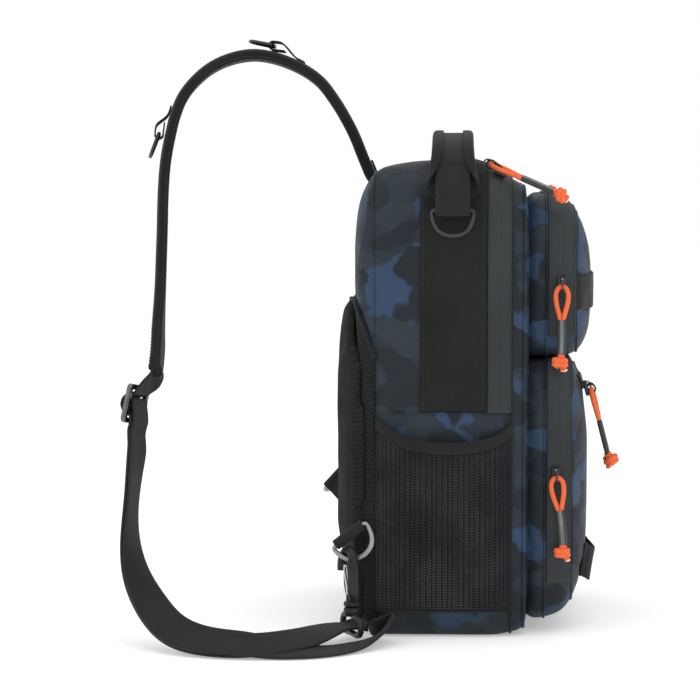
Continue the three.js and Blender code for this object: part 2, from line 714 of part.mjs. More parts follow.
const STRAP = [
  { x: 0, y: 57.5, z: 333.5, width: 32, turn: 0.03 },
  { x: 0, y: 64.5, z: 348, width: 34, turn: 0.035 },
  { x: 0, y: 77.5, z: 374, width: 44, turn: 0.04 },
  { x: 0, y: 95, z: 403, width: 50, turn: 0.05 },
  { x: 0, y: 118.6, z: 418, width: 50, turn: 0.06 },
  { x: 0, y: 147, z: 424.2, width: 50, turn: 0.075 },
  { x: 0, y: 177, z: 415.5, width: 50, turn: 0.09 },
  { x: 0, y: 200, z: 393, width: 50, turn: 0.105 },
  { x: -3, y: 209.5, z: 364, width: 50, turn: 0.11 },
  { x: -6, y: 214, z: 335, width: 50, turn: 0.115 },
  { x: -18, y: 214.5, z: 292, width: 48, turn: 0.115 },
  { x: -36, y: 214, z: 249, width: 44, turn: 0.1 },
  { x: -48, y: 214, z: 223, width: 38, turn: 0.06 },
  { x: -57, y: 213.8, z: 206, width: 32, turn: 0.02 },
  { x: -63.5, y: 214.3, z: 191.5, width: 28, turn: 0 },
];
const STRAP_PAD = 8.5;
const STRAP_ROUND = 3;
const TO_NEAR = vector(-1, 0, 0);

function strapFrames(stepsPerRow) {
  const rows = STRAP.map((row) => ({ at: vector(row.x, row.y, row.z), across: vector(-1, -row.turn, 0) }));
  return frames(rows, stepsPerRow);
}

function strapPad() {
  const rings = strapFrames(2).map((frame) => {
    const index = Math.min(STRAP.length - 2, Math.floor(frame.share));
    const width = THREE.MathUtils.lerp(STRAP[index].width, STRAP[index + 1].width, frame.share - index);
    const [a, n] = [width / 2, STRAP_PAD / 2];
    const [flat, rim] = [a - STRAP_ROUND, n - STRAP_ROUND];
    const section = [
      [-a, -rim], [-flat, -n], [flat, -n], [a, -rim],
      [a, rim], [flat, n], [-flat, n], [-a, rim],
    ];
    return section.map(([across, normal]) => place(frame, across, normal));
  });
  return loft(rings);
}

addPiece('strap_pad', 'black_cloth', strapPad());

// Rings on the strap's outer face: where along the strap's rows each bar lies, and how many degrees the
// ring leans away from the strap
const STRAP_RINGS = [
  { name: 'upper', row: 4.5, lean: -2, tabLength: 17 },
  { name: 'lower', row: 8.05, lean: 8, tabLength: 17 },
];

function strapFrameAt(row) {
  const steps = 20;
  return strapFrames(steps)[Math.round(row * steps)];
}

for (const ring of STRAP_RINGS) {
  const frame = strapFrameAt(ring.row);
  const bar = place(frame, 0, STRAP_PAD / 2 + GAP + TAB_EYE + WEBBING);
  const lean = THREE.MathUtils.degToRad(-ring.lean);
  const reach = frame.along.clone().applyAxisAngle(frame.across, lean);
  addPiece(`strap_ring_${ring.name}`, 'dark_metal', dRing(bar, frame.across, reach));
  addPiece(`strap_ring_tab_${ring.name}`, 'webbing', tab(bar, frame.across, frame.along, ring.tabLength));
}

// Webbing tab that holds the strap's root to the top seam
const ANCHOR_ON_TOP = [{ y: 45.5, z: 339.5 }, { y: 48.6, z: 339.2 }, { y: 52.8, z: 342 }];
const ANCHOR_ON_STRAP = [0.8, 1.02];

function anchorRows() {
  const layer = STRAP_PAD / 2 + 2 * GAP + WEBBING / 2;
  const top = ANCHOR_ON_TOP.map((row) => vector(0, row.y, row.z));
  const strap = ANCHOR_ON_STRAP.map((row) => place(strapFrameAt(row), 0, layer));
  return [...top, ...strap].map((at) => ({ at, across: TO_NEAR }));
}

addPiece('strap_anchor', 'webbing', sweep(frames(anchorRows(), 2), stripSection(WEBBING_WIDTH, WEBBING)));

// Three-bar slider: a flat frame with two slots, set in the strap's own directions

const SLIDER = { at: vector(-74, 228.5, 165.5), width: 35, height: 29, bar: 4, slot: 8, thickness: 4 };
const SLIDER_UP = vector(0.1, -0.2, 0.97).normalize();
const SLIDER_ACROSS = vector(-0.95, 0.28, 0.156).normalize();
const SLIDER_OUT = SLIDER_UP.clone().cross(SLIDER_ACROSS).negate();
const SLIDER_CORNER = 3.3;
const SLIDER_CORNER_STEPS = 3;

function roundedShape(width, height, radius) {
  const points = [];
  for (const [quarter, xSign, ySign] of [[0, 1, 1], [1, -1, 1], [2, -1, -1], [3, 1, -1]]) {
    for (let i = 0; i <= SLIDER_CORNER_STEPS; i += 1) {
      const angle = (quarter + i / SLIDER_CORNER_STEPS) * Math.PI / 2;
      const x = xSign * (width / 2 - radius) + radius * Math.cos(angle);
      const y = ySign * (height / 2 - radius) + radius * Math.sin(angle);
      points.push(new THREE.Vector2(x, y));
    }
  }
  return new THREE.Shape(points);
}

function slotPath(middle, width) {
  const path = new THREE.Path();
  const [a, b] = [width / 2, SLIDER.slot / 2];
  path.moveTo(-a, middle - b);
  path.lineTo(-a, middle + b);
  path.lineTo(a, middle + b);
  path.lineTo(a, middle - b);
  return path;
}

function strapSlider() {
  const shape = roundedShape(SLIDER.width, SLIDER.height, SLIDER_CORNER);
  const middle = (SLIDER.slot + SLIDER.bar + 1) / 2;
  shape.holes.push(slotPath(middle, WEBBING_WIDTH + 2), slotPath(-middle, WEBBING_WIDTH + 2));
  const options = { depth: SLIDER.thickness, bevelEnabled: false, curveSegments: 3 };
  const geometry = new THREE.ExtrudeGeometry(shape, options);
  geometry.translate(0, 0, -SLIDER.thickness / 2);
  const flat = SLIDER_OUT.clone().cross(SLIDER_ACROSS);
  const turn = new THREE.Matrix4().makeBasis(SLIDER_ACROSS, flat, SLIDER_OUT);
  geometry.applyMatrix4(turn.setPosition(SLIDER.at));
  return geometry;
}

addPiece('strap_slider', 'black_plastic', strapSlider());

// Strap webbing: over the slider's bar, down and along the floor, round the hook's eye, back the same way
// and round the slider's bar again

function bySlider({ up, out }) {
  const at = SLIDER.at.clone().addScaledVector(SLIDER_UP, up).addScaledVector(SLIDER_OUT, out);
  return { at, across: SLIDER_ACROSS };
}

// Up along the slider and out from its middle plane: over the middle bar, and later close round it
const THROUGH_SLIDER = [
  { up: 12.5, out: -4.7 },
  { up: 9, out: -2.9 },
  { up: 7, out: 0.6 },
  { up: 5.4, out: 3.6 },
  { up: 2.6, out: 5.4 },
  { up: 0, out: 5.8 },
  { up: -2.6, out: 5.4 },
  { up: -5.4, out: 3.6 },
  { up: -7, out: 0.6 },
  { up: -9, out: -2.9 },
  { up: -12.5, out: -4 },
  { up: -19, out: -4 },
];
const ROUND_BAR = [
  { up: -20, out: -6.8 },
  { up: -12, out: -7 },
  { up: -5, out: -5.2 },
  { up: 0, out: -3.4 },
  { up: 3, out: -2.9 },
  { up: 4.1, out: 0 },
  { up: 3, out: 2.9 },
  { up: 0, out: 3.4 },
  { up: -3, out: 2.9 },
];

// The run that both strands share, with the direction across the webbing at each row
const SHARED_RUN = [
  { at: [-82, 226.6, 134], across: [-0.93, 0.3, 0.14] },
  { at: [-91, 228, 115], across: [-0.96, 0.2, 0.14] },
  { at: [-104, 228.4, 94], across: [-0.97, 0.13, 0.13] },
  { at: [-116, 227.6, 72], across: [-0.93, 0.24, 0.1] },
  { at: [-130, 222.5, 52], across: [-0.85, 0.38, -0.09] },
  { at: [-144, 214, 37], across: [-0.72, 0.46, -0.3] },
  { at: [-161, 201, 22.5], across: [-0.62, 0.42, -0.5] },
  { at: [-175, 186, 13.4], across: [-0.68, 0.14, -0.58] },
  { at: [-184, 163, 9.6], across: [-0.8, -0.02, -0.48] },
  { at: [-188, 138, 9], across: [-0.81, -0.05, -0.45] },
];
const STRAND_OFFSET = 1.25;

function plainRows(table) {
  return table.map((row) => ({ at: vector(...row.at), across: vector(...row.across) }));
}

function strand(side) {
  const run = frames(plainRows(SHARED_RUN), 1);
  return run.map((frame) => ({ at: place(frame, 0, side * STRAND_OFFSET), across: frame.across }));
}

const EYE_BAR = vector(-0.9, -0.43, 0).normalize();
const EYE = { at: vector(-126.1, 66.4, 0), low: 6.2, high: 18.5, halfWidth: 16, wire: 2.3 };
const SLACK = 0.8;
const OVER_EYE = EYE.low + EYE.wire + GAP + WEBBING / 2 + SLACK;
const INTO_EYE = [
  { at: [-181, 113, 9.8], across: [-0.92, -0.1, -0.34] },
  { at: [-164, 97, 10], across: [-0.9, -0.3, -0.28] },
  { at: [-147, 86, 11.4], across: [-0.9, -0.4, -0.15] },
  { at: [-133.5, 77, OVER_EYE + 1.6], across: [-0.9, -0.43, 0] },
  { at: [-126.4, 66.9, OVER_EYE + 0.7], across: [-0.9, -0.43, 0] },
  { at: [-121.5, 58.4, OVER_EYE + 1], across: [-0.88, -0.4, -0.15] },
];
const OUT_OF_EYE = [
  { at: [-121.5, 50, 12.8], across: [-0.6, -0.2, 0.75] },
  { at: [-121.4, 43.5, 13.6], across: [-0.1, 0, 1] },
  { at: [-128.5, 41.5, 13.5], across: [0, -0.05, 1] },
  { at: [-139, 45.5, 11.6], across: [-0.35, -0.4, 0.82] },
  { at: [-151, 55.5, 4.6], across: [-0.6, -0.76, 0.2] },
  { at: [-166, 70.5, 2.2], across: [-0.66, -0.74, 0] },
  { at: [-179, 87, 3], across: [-0.85, -0.5, -0.12] },
  { at: [-185.5, 103, 4.5], across: [-0.94, -0.2, -0.22] },
  { at: [-187, 119, 6], across: [-0.9, 0, -0.36] },
];

const STRAP_END_RUN = 7;
const STRAP_END_ACROSS = vector(-0.95, 0.28, 0.1);

function strapEndRows() {
  const end = strapFrames(2).at(-1);
  const beyond = (reach) => ({ at: end.at.clone().addScaledVector(end.along, reach), across: STRAP_END_ACROSS });
  return [GAP, STRAP_END_RUN].map(beyond);
}

function strapWebbing() {
  const rows = [
    ...strapEndRows(),
    ...THROUGH_SLIDER.map(bySlider),
    ...strand(1),
    ...plainRows(INTO_EYE),
    ...plainRows(OUT_OF_EYE),
    ...strand(-1).reverse(),
    ...ROUND_BAR.map(bySlider),
  ];
  return sweep(frames(rows, 2), stripSection(WEBBING_WIDTH, WEBBING));
}

addPiece('strap_webbing', 'webbing', strapWebbing());

// Lower corner tabs and rings, and the snap hook on the near one

const NEAR_BAR = vector(-119, 68.7, 76.2);
const NEAR_ALONG = vector(0, -0.783, 0.624).normalize();
const NEAR_DOWN = vector(-0.27, -0.6, -0.755).normalize();
const FAR_BAR = vector(102.6, 87.9, 90.2);
const FAR_ALONG = vector(0, -0.67, 0.74).normalize();
const FAR_AWAY = vector(0.6, 0.594, 0.538).normalize();
const FAR_DOWN = vector(0.94, -0.253, -0.229).normalize();
const NEAR_TAB_LENGTH = 9.5;
const FAR_TAB_LENGTH = 11;

addPiece('strap_tab_near', 'webbing', tab(NEAR_BAR, NEAR_ALONG, TO_NEAR, NEAR_TAB_LENGTH));
addPiece('corner_ring_near', 'grey_metal', dRing(NEAR_BAR, NEAR_ALONG, NEAR_DOWN));
addPiece('strap_tab_far', 'webbing', tab(FAR_BAR, FAR_ALONG, FAR_AWAY, FAR_TAB_LENGTH));
addPiece('corner_ring_far', 'grey_metal', dRing(FAR_BAR, FAR_ALONG, FAR_DOWN));

const HOOK_SIDE = vector(0.86, 0.51, 0).normalize();
const HOOK_NORMAL = vector(HOOK_SIDE.y, -HOOK_SIDE.x, 0);
const HOOK_WIRE = 2.6;
const DISC_SIDES = 14;
const COLLAR = { radius: 6, low: 19.5, high: 25 };
const HOOK_BASE = { radius: 6, low: COLLAR.high + GAP, high: 29 };
const HOOK_LINE = [
  { side: -1, up: 27.5 },
  { side: -4.6, up: 33 },
  { side: -5.2, up: 45 },
  { side: -4.4, up: 55.5 },
  { side: -1.2, up: 62.8 },
  { side: 4, up: 65 },
  { side: 9.6, up: 62.3 },
  { side: 12.4, up: 55.5 },
  { side: 12.6, up: 49.5 },
];
const GATE_PIVOT = { side: 3.4, up: 29.6 };
const GATE_TIP = { side: 8.2, up: 52 };
const GATE_WIRE = 0.8;
const GATE_SPREAD = 1.7;
const GATE_BEND = 0.8;

function byHook(side, up, off = 0) {
  const foot = vector(EYE.at.x, EYE.at.y, up);
  return foot.addScaledVector(HOOK_SIDE, side).addScaledVector(HOOK_NORMAL, off);
}

function disc({ radius, low, high }) {
  const geometry = new THREE.CylinderGeometry(radius, radius, high - low, DISC_SIDES);
  geometry.rotateX(Math.PI / 2);
  geometry.translate(EYE.at.x, EYE.at.y, (low + high) / 2);
  return geometry;
}

function hookBody() {
  const points = HOOK_LINE.map((row) => byHook(row.side, row.up));
  return unite(wire(points, HOOK_NORMAL, HOOK_WIRE, 8, 2), disc(HOOK_BASE));
}

// One side of the gate's wire loop from its pivot to its tip
function gateSide(spread) {
  const middle = { side: (GATE_PIVOT.side + GATE_TIP.side) / 2, up: (GATE_PIVOT.up + GATE_TIP.up) / 2 };
  return [
    byHook(GATE_PIVOT.side, GATE_PIVOT.up, spread),
    byHook(middle.side, middle.up, spread),
    byHook(GATE_TIP.side, GATE_TIP.up - 1, GATE_BEND * spread),
  ];
}

function hookGate() {
  const tip = byHook(GATE_TIP.side, GATE_TIP.up);
  const points = [...gateSide(-GATE_SPREAD), tip, ...gateSide(GATE_SPREAD).reverse()];
  return wire(points, HOOK_SIDE, GATE_WIRE, 6, 2);
}

// Half of the eye's outline from the middle of its bar to the middle of its top
const EYE_HALF = [
  { from: 0, up: EYE.low },
  { from: EYE.halfWidth - 4, up: EYE.low },
  { from: EYE.halfWidth - 0.5, up: EYE.low + 2.5 },
  { from: EYE.halfWidth, up: (EYE.low + EYE.high) / 2 },
  { from: EYE.halfWidth - 2, up: EYE.high - 1.5 },
  { from: EYE.halfWidth - 7, up: EYE.high },
  { from: 0, up: EYE.high + 1 },
];

function hookEye() {
  const spot = (from, up) => vector(EYE.at.x, EYE.at.y, up).addScaledVector(EYE_BAR, from);
  const one = EYE_HALF.map((row) => spot(row.from, row.up));
  const other = EYE_HALF.slice(1, -1).reverse().map((row) => spot(-row.from, row.up));
  const across = EYE_BAR.clone().cross(vector(0, 0, 1));
  return unite(wire([...one, ...other], across, EYE.wire, 8, 2, true), disc(COLLAR));
}

addPiece('hook_body', 'black_plastic', hookBody());
addPiece('hook_gate', 'steel_wire', hookGate());
addPiece('hook_eye', 'black_plastic', hookEye());

// Zip pulls: a slider with a tab, a loop of cord through the tab, a sleeve over both strands and a knot

const PULL = { loop: 28, sleeve: 22, knot: 5.2, bulge: 4.6, apart: CORD_RADIUS + 0.1 };
const TAB_LENGTH = 9;
const TAB_WIDTH = 9;
const TAB_PLATE = 1.2;
const HOLE = CORD_RADIUS + 0.9;
const SLIDER_BODY = { length: 9, width: 6.5, height: 3 };
const TAB_NECK = { back: 2, half: 2.4 };
const SLEEVE = { wall: 0.6, sides: 12, squareness: 0.7 };
const CORD_STEPS = 24;

// Where each slider sits, which way its seat faces, which way the pull hangs, its turn about that, and
// whether the slider's tab lies back against the pull
const PULLS = [
  {
    name: 'main_near', at: [-90.7, -39.7, 335.7], out: [-0.43, -0.48, 0.76],
    down: [-0.02, -0.914, -0.405], twist: 0, back: true,
  },
  {
    name: 'main_far', at: [90.7, -39.7, 335.7], out: [0.43, -0.48, 0.76],
    down: [0.02, -0.914, -0.405], twist: 0, back: true,
  },
  { name: 'upper', at: [-93.3, -84.3, 263], out: [-1, 0, 0], down: [-0.075, 0.01, -1], twist: 0 },
  { name: 'lower', at: [-98.2, -80, 125], out: [-1, 0, 0], down: [-0.02, -0.1, -1], twist: 0 },
  { name: 'front', at: [-48, -105.2, 183], out: [0, -1, 0], down: [0, -0.27, -0.96], twist: 30 },
];

function pullFrame(row) {
  const down = vector(...row.down).normalize();
  const rough = vector(...row.out);
  const seat = rough.addScaledVector(down, -rough.dot(down)).normalize();
  const out = seat.clone().applyAxisAngle(down, THREE.MathUtils.degToRad(row.twist));
  const hole = row.back ? -HOLE_DOWN : HOLE_DOWN;
  return { at: vector(...row.at), down, seat, out, side: out.clone().cross(down), hole };
}

function pullBasis(frame, out) {
  return new THREE.Matrix4().makeBasis(frame.down, out.clone().cross(frame.down), out);
}

function onPull(frame, down, side, out) {
  const spot = frame.at.clone().addScaledVector(frame.down, down);
  return spot.addScaledVector(frame.side, side).addScaledVector(frame.out, out);
}

// The hole in the tab, and from there the distances down the pull
const TAB_RISE = 3.6;
const HOLE_DOWN = SLIDER_BODY.length / 2 + TAB_LENGTH - TAB_WIDTH / 2;

function sleeveSpan(frame) {
  const start = frame.hole + PULL.loop;
  return [start, start + PULL.sleeve];
}

function pullSlider(frame) {
  const body = new THREE.BoxGeometry(SLIDER_BODY.length, SLIDER_BODY.width, SLIDER_BODY.height);
  const plate = new THREE.Shape();
  plate.moveTo(-TAB_NECK.back, -TAB_NECK.half);
  plate.lineTo(HOLE_DOWN, -TAB_WIDTH / 2);
  plate.absarc(HOLE_DOWN, 0, TAB_WIDTH / 2, -Math.PI / 2, Math.PI / 2);
  plate.lineTo(-TAB_NECK.back, TAB_NECK.half);
  const hole = new THREE.Path();
  hole.absarc(HOLE_DOWN, 0, HOLE, 0, 2 * Math.PI, true);
  plate.holes.push(hole);
  const options = { depth: TAB_PLATE, bevelEnabled: false, curveSegments: 6 };
  const tabPlate = new THREE.ExtrudeGeometry(plate, options);
  tabPlate.translate(0, 0, -TAB_PLATE / 2);
  tabPlate.rotateX(Math.PI / 2);
  tabPlate.rotateZ(frame.hole < 0 ? Math.PI : 0);
  tabPlate.translate(0, 0, TAB_RISE);
  body.applyMatrix4(pullBasis(frame, frame.seat).setPosition(frame.at));
  tabPlate.applyMatrix4(pullBasis(frame, frame.out).setPosition(frame.at));
  return unite(body, tabPlate);
}

// Half of the cord's way, from the tab's hole to the knot: distance down from the hole, and to the side
const CORD_HALF = [
  { down: 0, side: 0 },
  { down: 1.1, side: 2.6 },
  { down: 4.8, side: PULL.bulge - 0.2 },
  { down: 11, side: PULL.bulge },
  { down: 18, side: PULL.bulge - 0.6 },
  { down: 24, side: 2.9 },
  { down: PULL.loop - 0.5, side: PULL.apart },
  { down: PULL.loop + PULL.sleeve / 2, side: PULL.apart },
  { down: PULL.loop + PULL.sleeve - GAP, side: PULL.apart },
];

function cordPoints(frame) {
  const strand = (sign) => (row) => onPull(frame, frame.hole + row.down, sign * row.side, TAB_RISE);
  return [...CORD_HALF.slice(1).reverse().map(strand(-1)), ...CORD_HALF.map(strand(1))];
}

function pullCord(frame) {
  const curve = new THREE.CatmullRomCurve3(cordPoints(frame), false, 'centripetal');
  const section = new THREE.Shape();
  section.absarc(0, 0, CORD_RADIUS, 0, 2 * Math.PI);
  const options = { steps: CORD_STEPS, extrudePath: curve, curveSegments: 4, bevelEnabled: false };
  return new THREE.ExtrudeGeometry(section, options);
}

function squared(value) {
  return Math.sign(value) * Math.abs(value) ** SLEEVE.squareness;
}

function sleeveRing(frame, extra, down) {
  const [side, out] = [PULL.apart + CORD_RADIUS + GAP + extra, CORD_RADIUS + GAP + extra];
  return Array.from({ length: SLEEVE.sides }, (_, i) => {
    const angle = (2 * Math.PI * i) / SLEEVE.sides;
    const over = TAB_RISE + out * squared(Math.sin(angle));
    return onPull(frame, down, side * squared(Math.cos(angle)), over);
  });
}

function pullSleeve(frame) {
  const [start, end] = sleeveSpan(frame);
  const rings = [
    sleeveRing(frame, 0, start),
    sleeveRing(frame, 0, end),
    sleeveRing(frame, SLEEVE.wall, end),
    sleeveRing(frame, SLEEVE.wall, start),
  ];
  return loft(rings, { loop: true });
}

function pullKnot(frame) {
  const geometry = new THREE.SphereGeometry(PULL.knot, 8, 6);
  geometry.scale(1, 0.85, 0.8);
  const middle = onPull(frame, sleeveSpan(frame)[1] + GAP + PULL.knot, 0, TAB_RISE);
  geometry.applyMatrix4(pullBasis(frame, frame.out).setPosition(middle));
  return geometry;
}

for (const row of PULLS) {
  const frame = pullFrame(row);
  addPiece(`slider_${row.name}`, 'dark_metal', pullSlider(frame));
  addPiece(`cord_${row.name}`, 'orange_cord', pullCord(frame));
  addPiece(`sleeve_${row.name}`, 'sleeve', pullSleeve(frame));
  addPiece(`knot_${row.name}`, 'orange_cord', pullKnot(frame));
}

export default bag;
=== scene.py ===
"""Finish and soft goods of a one-strap sling bag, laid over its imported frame, in metres.

+Z is up, the pockets face -Y, the wearer's back is at +Y and the near side is -X.
"""
import json
from math import atan2, copysign, cos, exp, pi, radians, sin, sqrt, tanh
from types import SimpleNamespace as Measures

import bmesh
import bpy
from bpy.props import FloatProperty, FloatVectorProperty, PointerProperty
from mathutils import Matrix, Vector
from mathutils.bvhtree import BVHTree


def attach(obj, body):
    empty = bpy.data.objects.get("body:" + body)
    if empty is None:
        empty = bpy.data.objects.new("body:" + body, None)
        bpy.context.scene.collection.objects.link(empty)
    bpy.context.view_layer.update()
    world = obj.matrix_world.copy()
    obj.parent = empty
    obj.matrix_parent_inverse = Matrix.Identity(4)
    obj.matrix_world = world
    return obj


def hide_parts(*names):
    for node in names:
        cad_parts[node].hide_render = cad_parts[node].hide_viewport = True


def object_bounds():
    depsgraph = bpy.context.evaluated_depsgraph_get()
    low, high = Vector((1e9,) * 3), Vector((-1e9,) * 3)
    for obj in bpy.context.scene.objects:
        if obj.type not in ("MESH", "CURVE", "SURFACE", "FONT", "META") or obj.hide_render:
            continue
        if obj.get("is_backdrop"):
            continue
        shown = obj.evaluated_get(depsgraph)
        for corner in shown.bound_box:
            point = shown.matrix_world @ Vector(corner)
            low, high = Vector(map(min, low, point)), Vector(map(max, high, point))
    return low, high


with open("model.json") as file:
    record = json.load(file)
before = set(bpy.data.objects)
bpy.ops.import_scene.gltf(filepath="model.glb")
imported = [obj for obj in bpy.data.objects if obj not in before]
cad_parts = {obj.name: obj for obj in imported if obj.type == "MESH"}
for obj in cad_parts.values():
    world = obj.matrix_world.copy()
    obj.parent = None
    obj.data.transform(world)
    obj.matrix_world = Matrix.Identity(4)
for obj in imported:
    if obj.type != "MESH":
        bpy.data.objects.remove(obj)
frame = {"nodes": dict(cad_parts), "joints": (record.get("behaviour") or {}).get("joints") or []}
CAD_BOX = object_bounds()

bl_info = {
    "name": "Sling bag finish",
    "version": (1, 0, 0),
    "blender": (4, 5, 0),
    "location": "View3D > Sidebar > Sling bag",
    "description": "Builds the cloth, straps, zips and fittings of a one-strap sling bag on its frame",
    "category": "Object",
}

MM = 0.001
WELD = 1e-6
TINY = 1e-9
LOOK = "sling_"
SIDES = (("near", -1), ("far", 1))


# Settings that a user would change

def length(name, description, millimetres):
    return FloatProperty(name=name, description=description, default=millimetres * MM,
                         min=0.0, unit="LENGTH", precision=5)


def colour(name, description, value):
    return FloatVectorProperty(name=name, description=description, default=value,
                               size=3, min=0.0, max=1.0, subtype="COLOR")


def amount(name, description, value, least=0.0):
    return FloatProperty(name=name, description=description, default=value, min=least)


def room_place(name, description, value):
    return FloatVectorProperty(name=name, description=description, default=value, subtype="TRANSLATION")


class SlingSizes(bpy.types.PropertyGroup):
    """Sizes of the trim, the weaves and the swelling of the cloth"""
    piping: length("Piping", "Radius of the piping on the shell's seams", 1.25)
    zip_tape: length("Zip tape", "Thickness of a zip band", 1.1)
    panel_cloth: length("Panel cloth", "Thickness of a side panel", 1.2)
    webbing: length("Webbing", "Thickness of the webbing", 1.6)
    webbing_width: length("Webbing width", "Width of the webbing", 25)
    net_pitch: length("Net pitch", "Distance between the threads of the mesh pockets", 1.6)
    net_thread: length("Net thread", "Thickness of the mesh pockets' threads", 0.75)
    cord: length("Cord", "Diameter of the zip pulls' cord", 3.4)
    stitch: length("Stitch", "Length of one stitch", 2.4)
    thread: length("Thread", "Thickness of the sewing thread", 0.42)
    swell: length("Swell", "How far the shell's cloth may move as it fills", 1.2)
    pad_swell: length("Pad swell", "How far the back pad's cloth may move as it fills", 1.6)
    camo_blob: length("Camouflage blob", "Size of the print's blobs", 37)


class SlingColours(bpy.types.PropertyGroup):
    """Colours of the cloth, the fittings and the cords"""
    camo_base: colour("Print ground", "Ground of the camouflage print", (0.019, 0.028, 0.0405))
    camo_blue: colour("Print blue", "Blue of the camouflage print", (0.031, 0.0585, 0.115))
    camo_dark: colour("Print dark", "Darkest tone of the camouflage print", (0.0121, 0.0176, 0.0234))
    camo_grey: colour("Print grey", "Grey tone of the camouflage print", (0.0247, 0.037, 0.0454))
    black_cloth: colour("Black cloth", "Side panels, grip and bindings", (0.0112, 0.0116, 0.012))
    zip_tape: colour("Zip tape", "Coated zip bands", (0.0225, 0.0295, 0.031))
    net: colour("Net", "Mesh pockets", (0.036, 0.0395, 0.042))
    spacer: colour("Spacer mesh", "Back pad", (0.0105, 0.0115, 0.012))
    webbing: colour("Webbing", "Straps and tabs", (0.016, 0.0165, 0.017))
    dark_metal: colour("Dark metal", "Rings and zip sliders", (0.055, 0.058, 0.062))
    grey_metal: colour("Grey metal", "Lower corner rings", (0.34, 0.35, 0.36))
    steel: colour("Steel", "Gate wire", (0.78, 0.79, 0.80))
    plastic: colour("Plastic", "Snap hook and strap slider", (0.020, 0.021, 0.0225))
    slider: colour("Slider", "Strap slider's glossy finish", (0.15, 0.155, 0.16))
    cord: colour("Cord", "Zip pulls' cord", (0.95, 0.165, 0.046))
    cord_end: colour("Cord end", "Cut ends of the cord", (0.92, 0.62, 0.50))
    sleeve: colour("Sleeve", "Zip pulls' sleeves", (0.052, 0.056, 0.058))
    thread: colour("Thread", "Sewing thread", (0.030, 0.031, 0.033))
    floor: colour("Floor", "Studio floor", (0.93, 0.93, 0.93))


class SlingStage(bpy.types.PropertyGroup):
    """Camera and light"""
    eye: room_place("Camera", "Place of the camera", (-1.910, -0.0087, 0.352))
    aim: room_place("Aim", "Point that the camera looks at", (-0.110, 0.0684, 0.209))
    lens: amount("Lens", "Focal length in millimetres on a 36 mm sensor", 129.1, 1.0)
    top_light: amount("Top light", "Power of the light overhead", 10.0)
    key_light: amount("Key light", "Power of the light by the camera", 2.6)
    back_light: amount("Back light", "Power of the light behind the strap", 5.0)
    sky: amount("Sky", "Strength of the light from all round", 0.75)


def sizes():
    return bpy.context.scene.sling_sizes


def colours():
    return bpy.context.scene.sling_colours


# Edit-mode helpers

def select_only(obj):
    bpy.ops.object.select_all(action="DESELECT")
    obj.select_set(True)
    bpy.context.view_layer.objects.active = obj


def edit(obj, *steps):
    """Runs edit-mode operators, each with its settings, on all of an object."""
    select_only(obj)
    bpy.ops.object.mode_set(mode="EDIT")
    bpy.ops.mesh.select_all(action="SELECT")
    for operator, settings in steps:
        operator(**settings)
    bpy.ops.object.mode_set(mode="OBJECT")


MERGE = (bpy.ops.mesh.remove_doubles, {"threshold": WELD})
FACE_OUT = (bpy.ops.mesh.normals_make_consistent, {"inside": False})
FLIP = (bpy.ops.mesh.flip_normals, {})


def apply_modifier(obj, kind, **settings):
    select_only(obj)
    modifier = obj.modifiers.new(kind.title(), kind)
    for key, value in settings.items():
        setattr(modifier, key, value)
    bpy.ops.object.modifier_apply(modifier=modifier.name)


def subdivide(obj, levels):
    apply_modifier(obj, "SUBSURF", levels=levels, render_levels=levels)


def thicken(obj, thickness, offset=0.0, even=True):
    apply_modifier(obj, "SOLIDIFY", thickness=thickness, offset=offset, use_even_offset=even)


def round_edges(obj, width, segments=2, angle=50):
    apply_modifier(obj, "BEVEL", width=width, segments=segments, limit_method="ANGLE",
                   angle_limit=radians(angle))


def close_seams(obj):
    edit(obj, MERGE, (bpy.ops.mesh.fill_holes, {"sides": 0}), FACE_OUT)


def joined(name, objects):
    select_only(objects[0])
    for obj in objects:
        obj.select_set(True)
    bpy.ops.object.join()
    return named(objects[0], name)


def moved(obj, matrix):
    obj.data.transform(matrix)
    return obj


def named(obj, name):
    obj.name = obj.data.name = name
    return obj


# The slots of materials that share one
SLOTS = {"thread": "black_cloth", "binding": "black_cloth", "net": "mesh", "spacer_mesh": "mesh",
         "cord_end": "orange_cord", "slider_finish": "black_plastic"}


def finish(obj, material, nodes=(), body="bag", smooth=60, slot=None):
    """Gives a piece its material, puts it on the body that it rides on, and hides the nodes that it stands
    for.
    """
    obj.data.materials.clear()
    obj.data.materials.append(bpy.data.materials[LOOK + material])
    select_only(obj)
    bpy.ops.object.shade_smooth_by_angle(angle=radians(smooth))
    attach(obj, body)
    slot or SLOTS.get(material, material)
    if nodes:
        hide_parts(*nodes)
    return obj


# Curves and directions

def lerp(low, high, share):
    return low + (high - low) * share


def smooth_step(value):
    value = min(1.0, max(0.0, value))
    return value * value * (3 - 2 * value)


def signed_power(value, power):
    return copysign(abs(value) ** power, value)


def shares(count):
    """Equal shares of a way, from 0 to 1 in so many steps."""
    return [k / count for k in range(count + 1)]


def mm(*numbers):
    return Vector(numbers) * MM


def unit(*numbers):
    return Vector(numbers).normalized()


def span_point(a, b, c, d, share):
    """A point between b and c on the centripetal curve through a, b, c and d."""
    first, middle, last = (max((q - p).length, TINY) ** 0.5 for p, q in ((a, b), (b, c), (c, d)))
    leave = ((b - a) / first - (c - a) / (first + middle) + (c - b) / middle) * middle
    reach = ((c - b) / middle - (d - b) / (middle + last) + (d - c) / last) * middle
    bend = (c - b) * 3 - leave * 2 - reach
    return b + leave * share + bend * share ** 2 + ((b - c) * 2 + leave + reach) * share ** 3


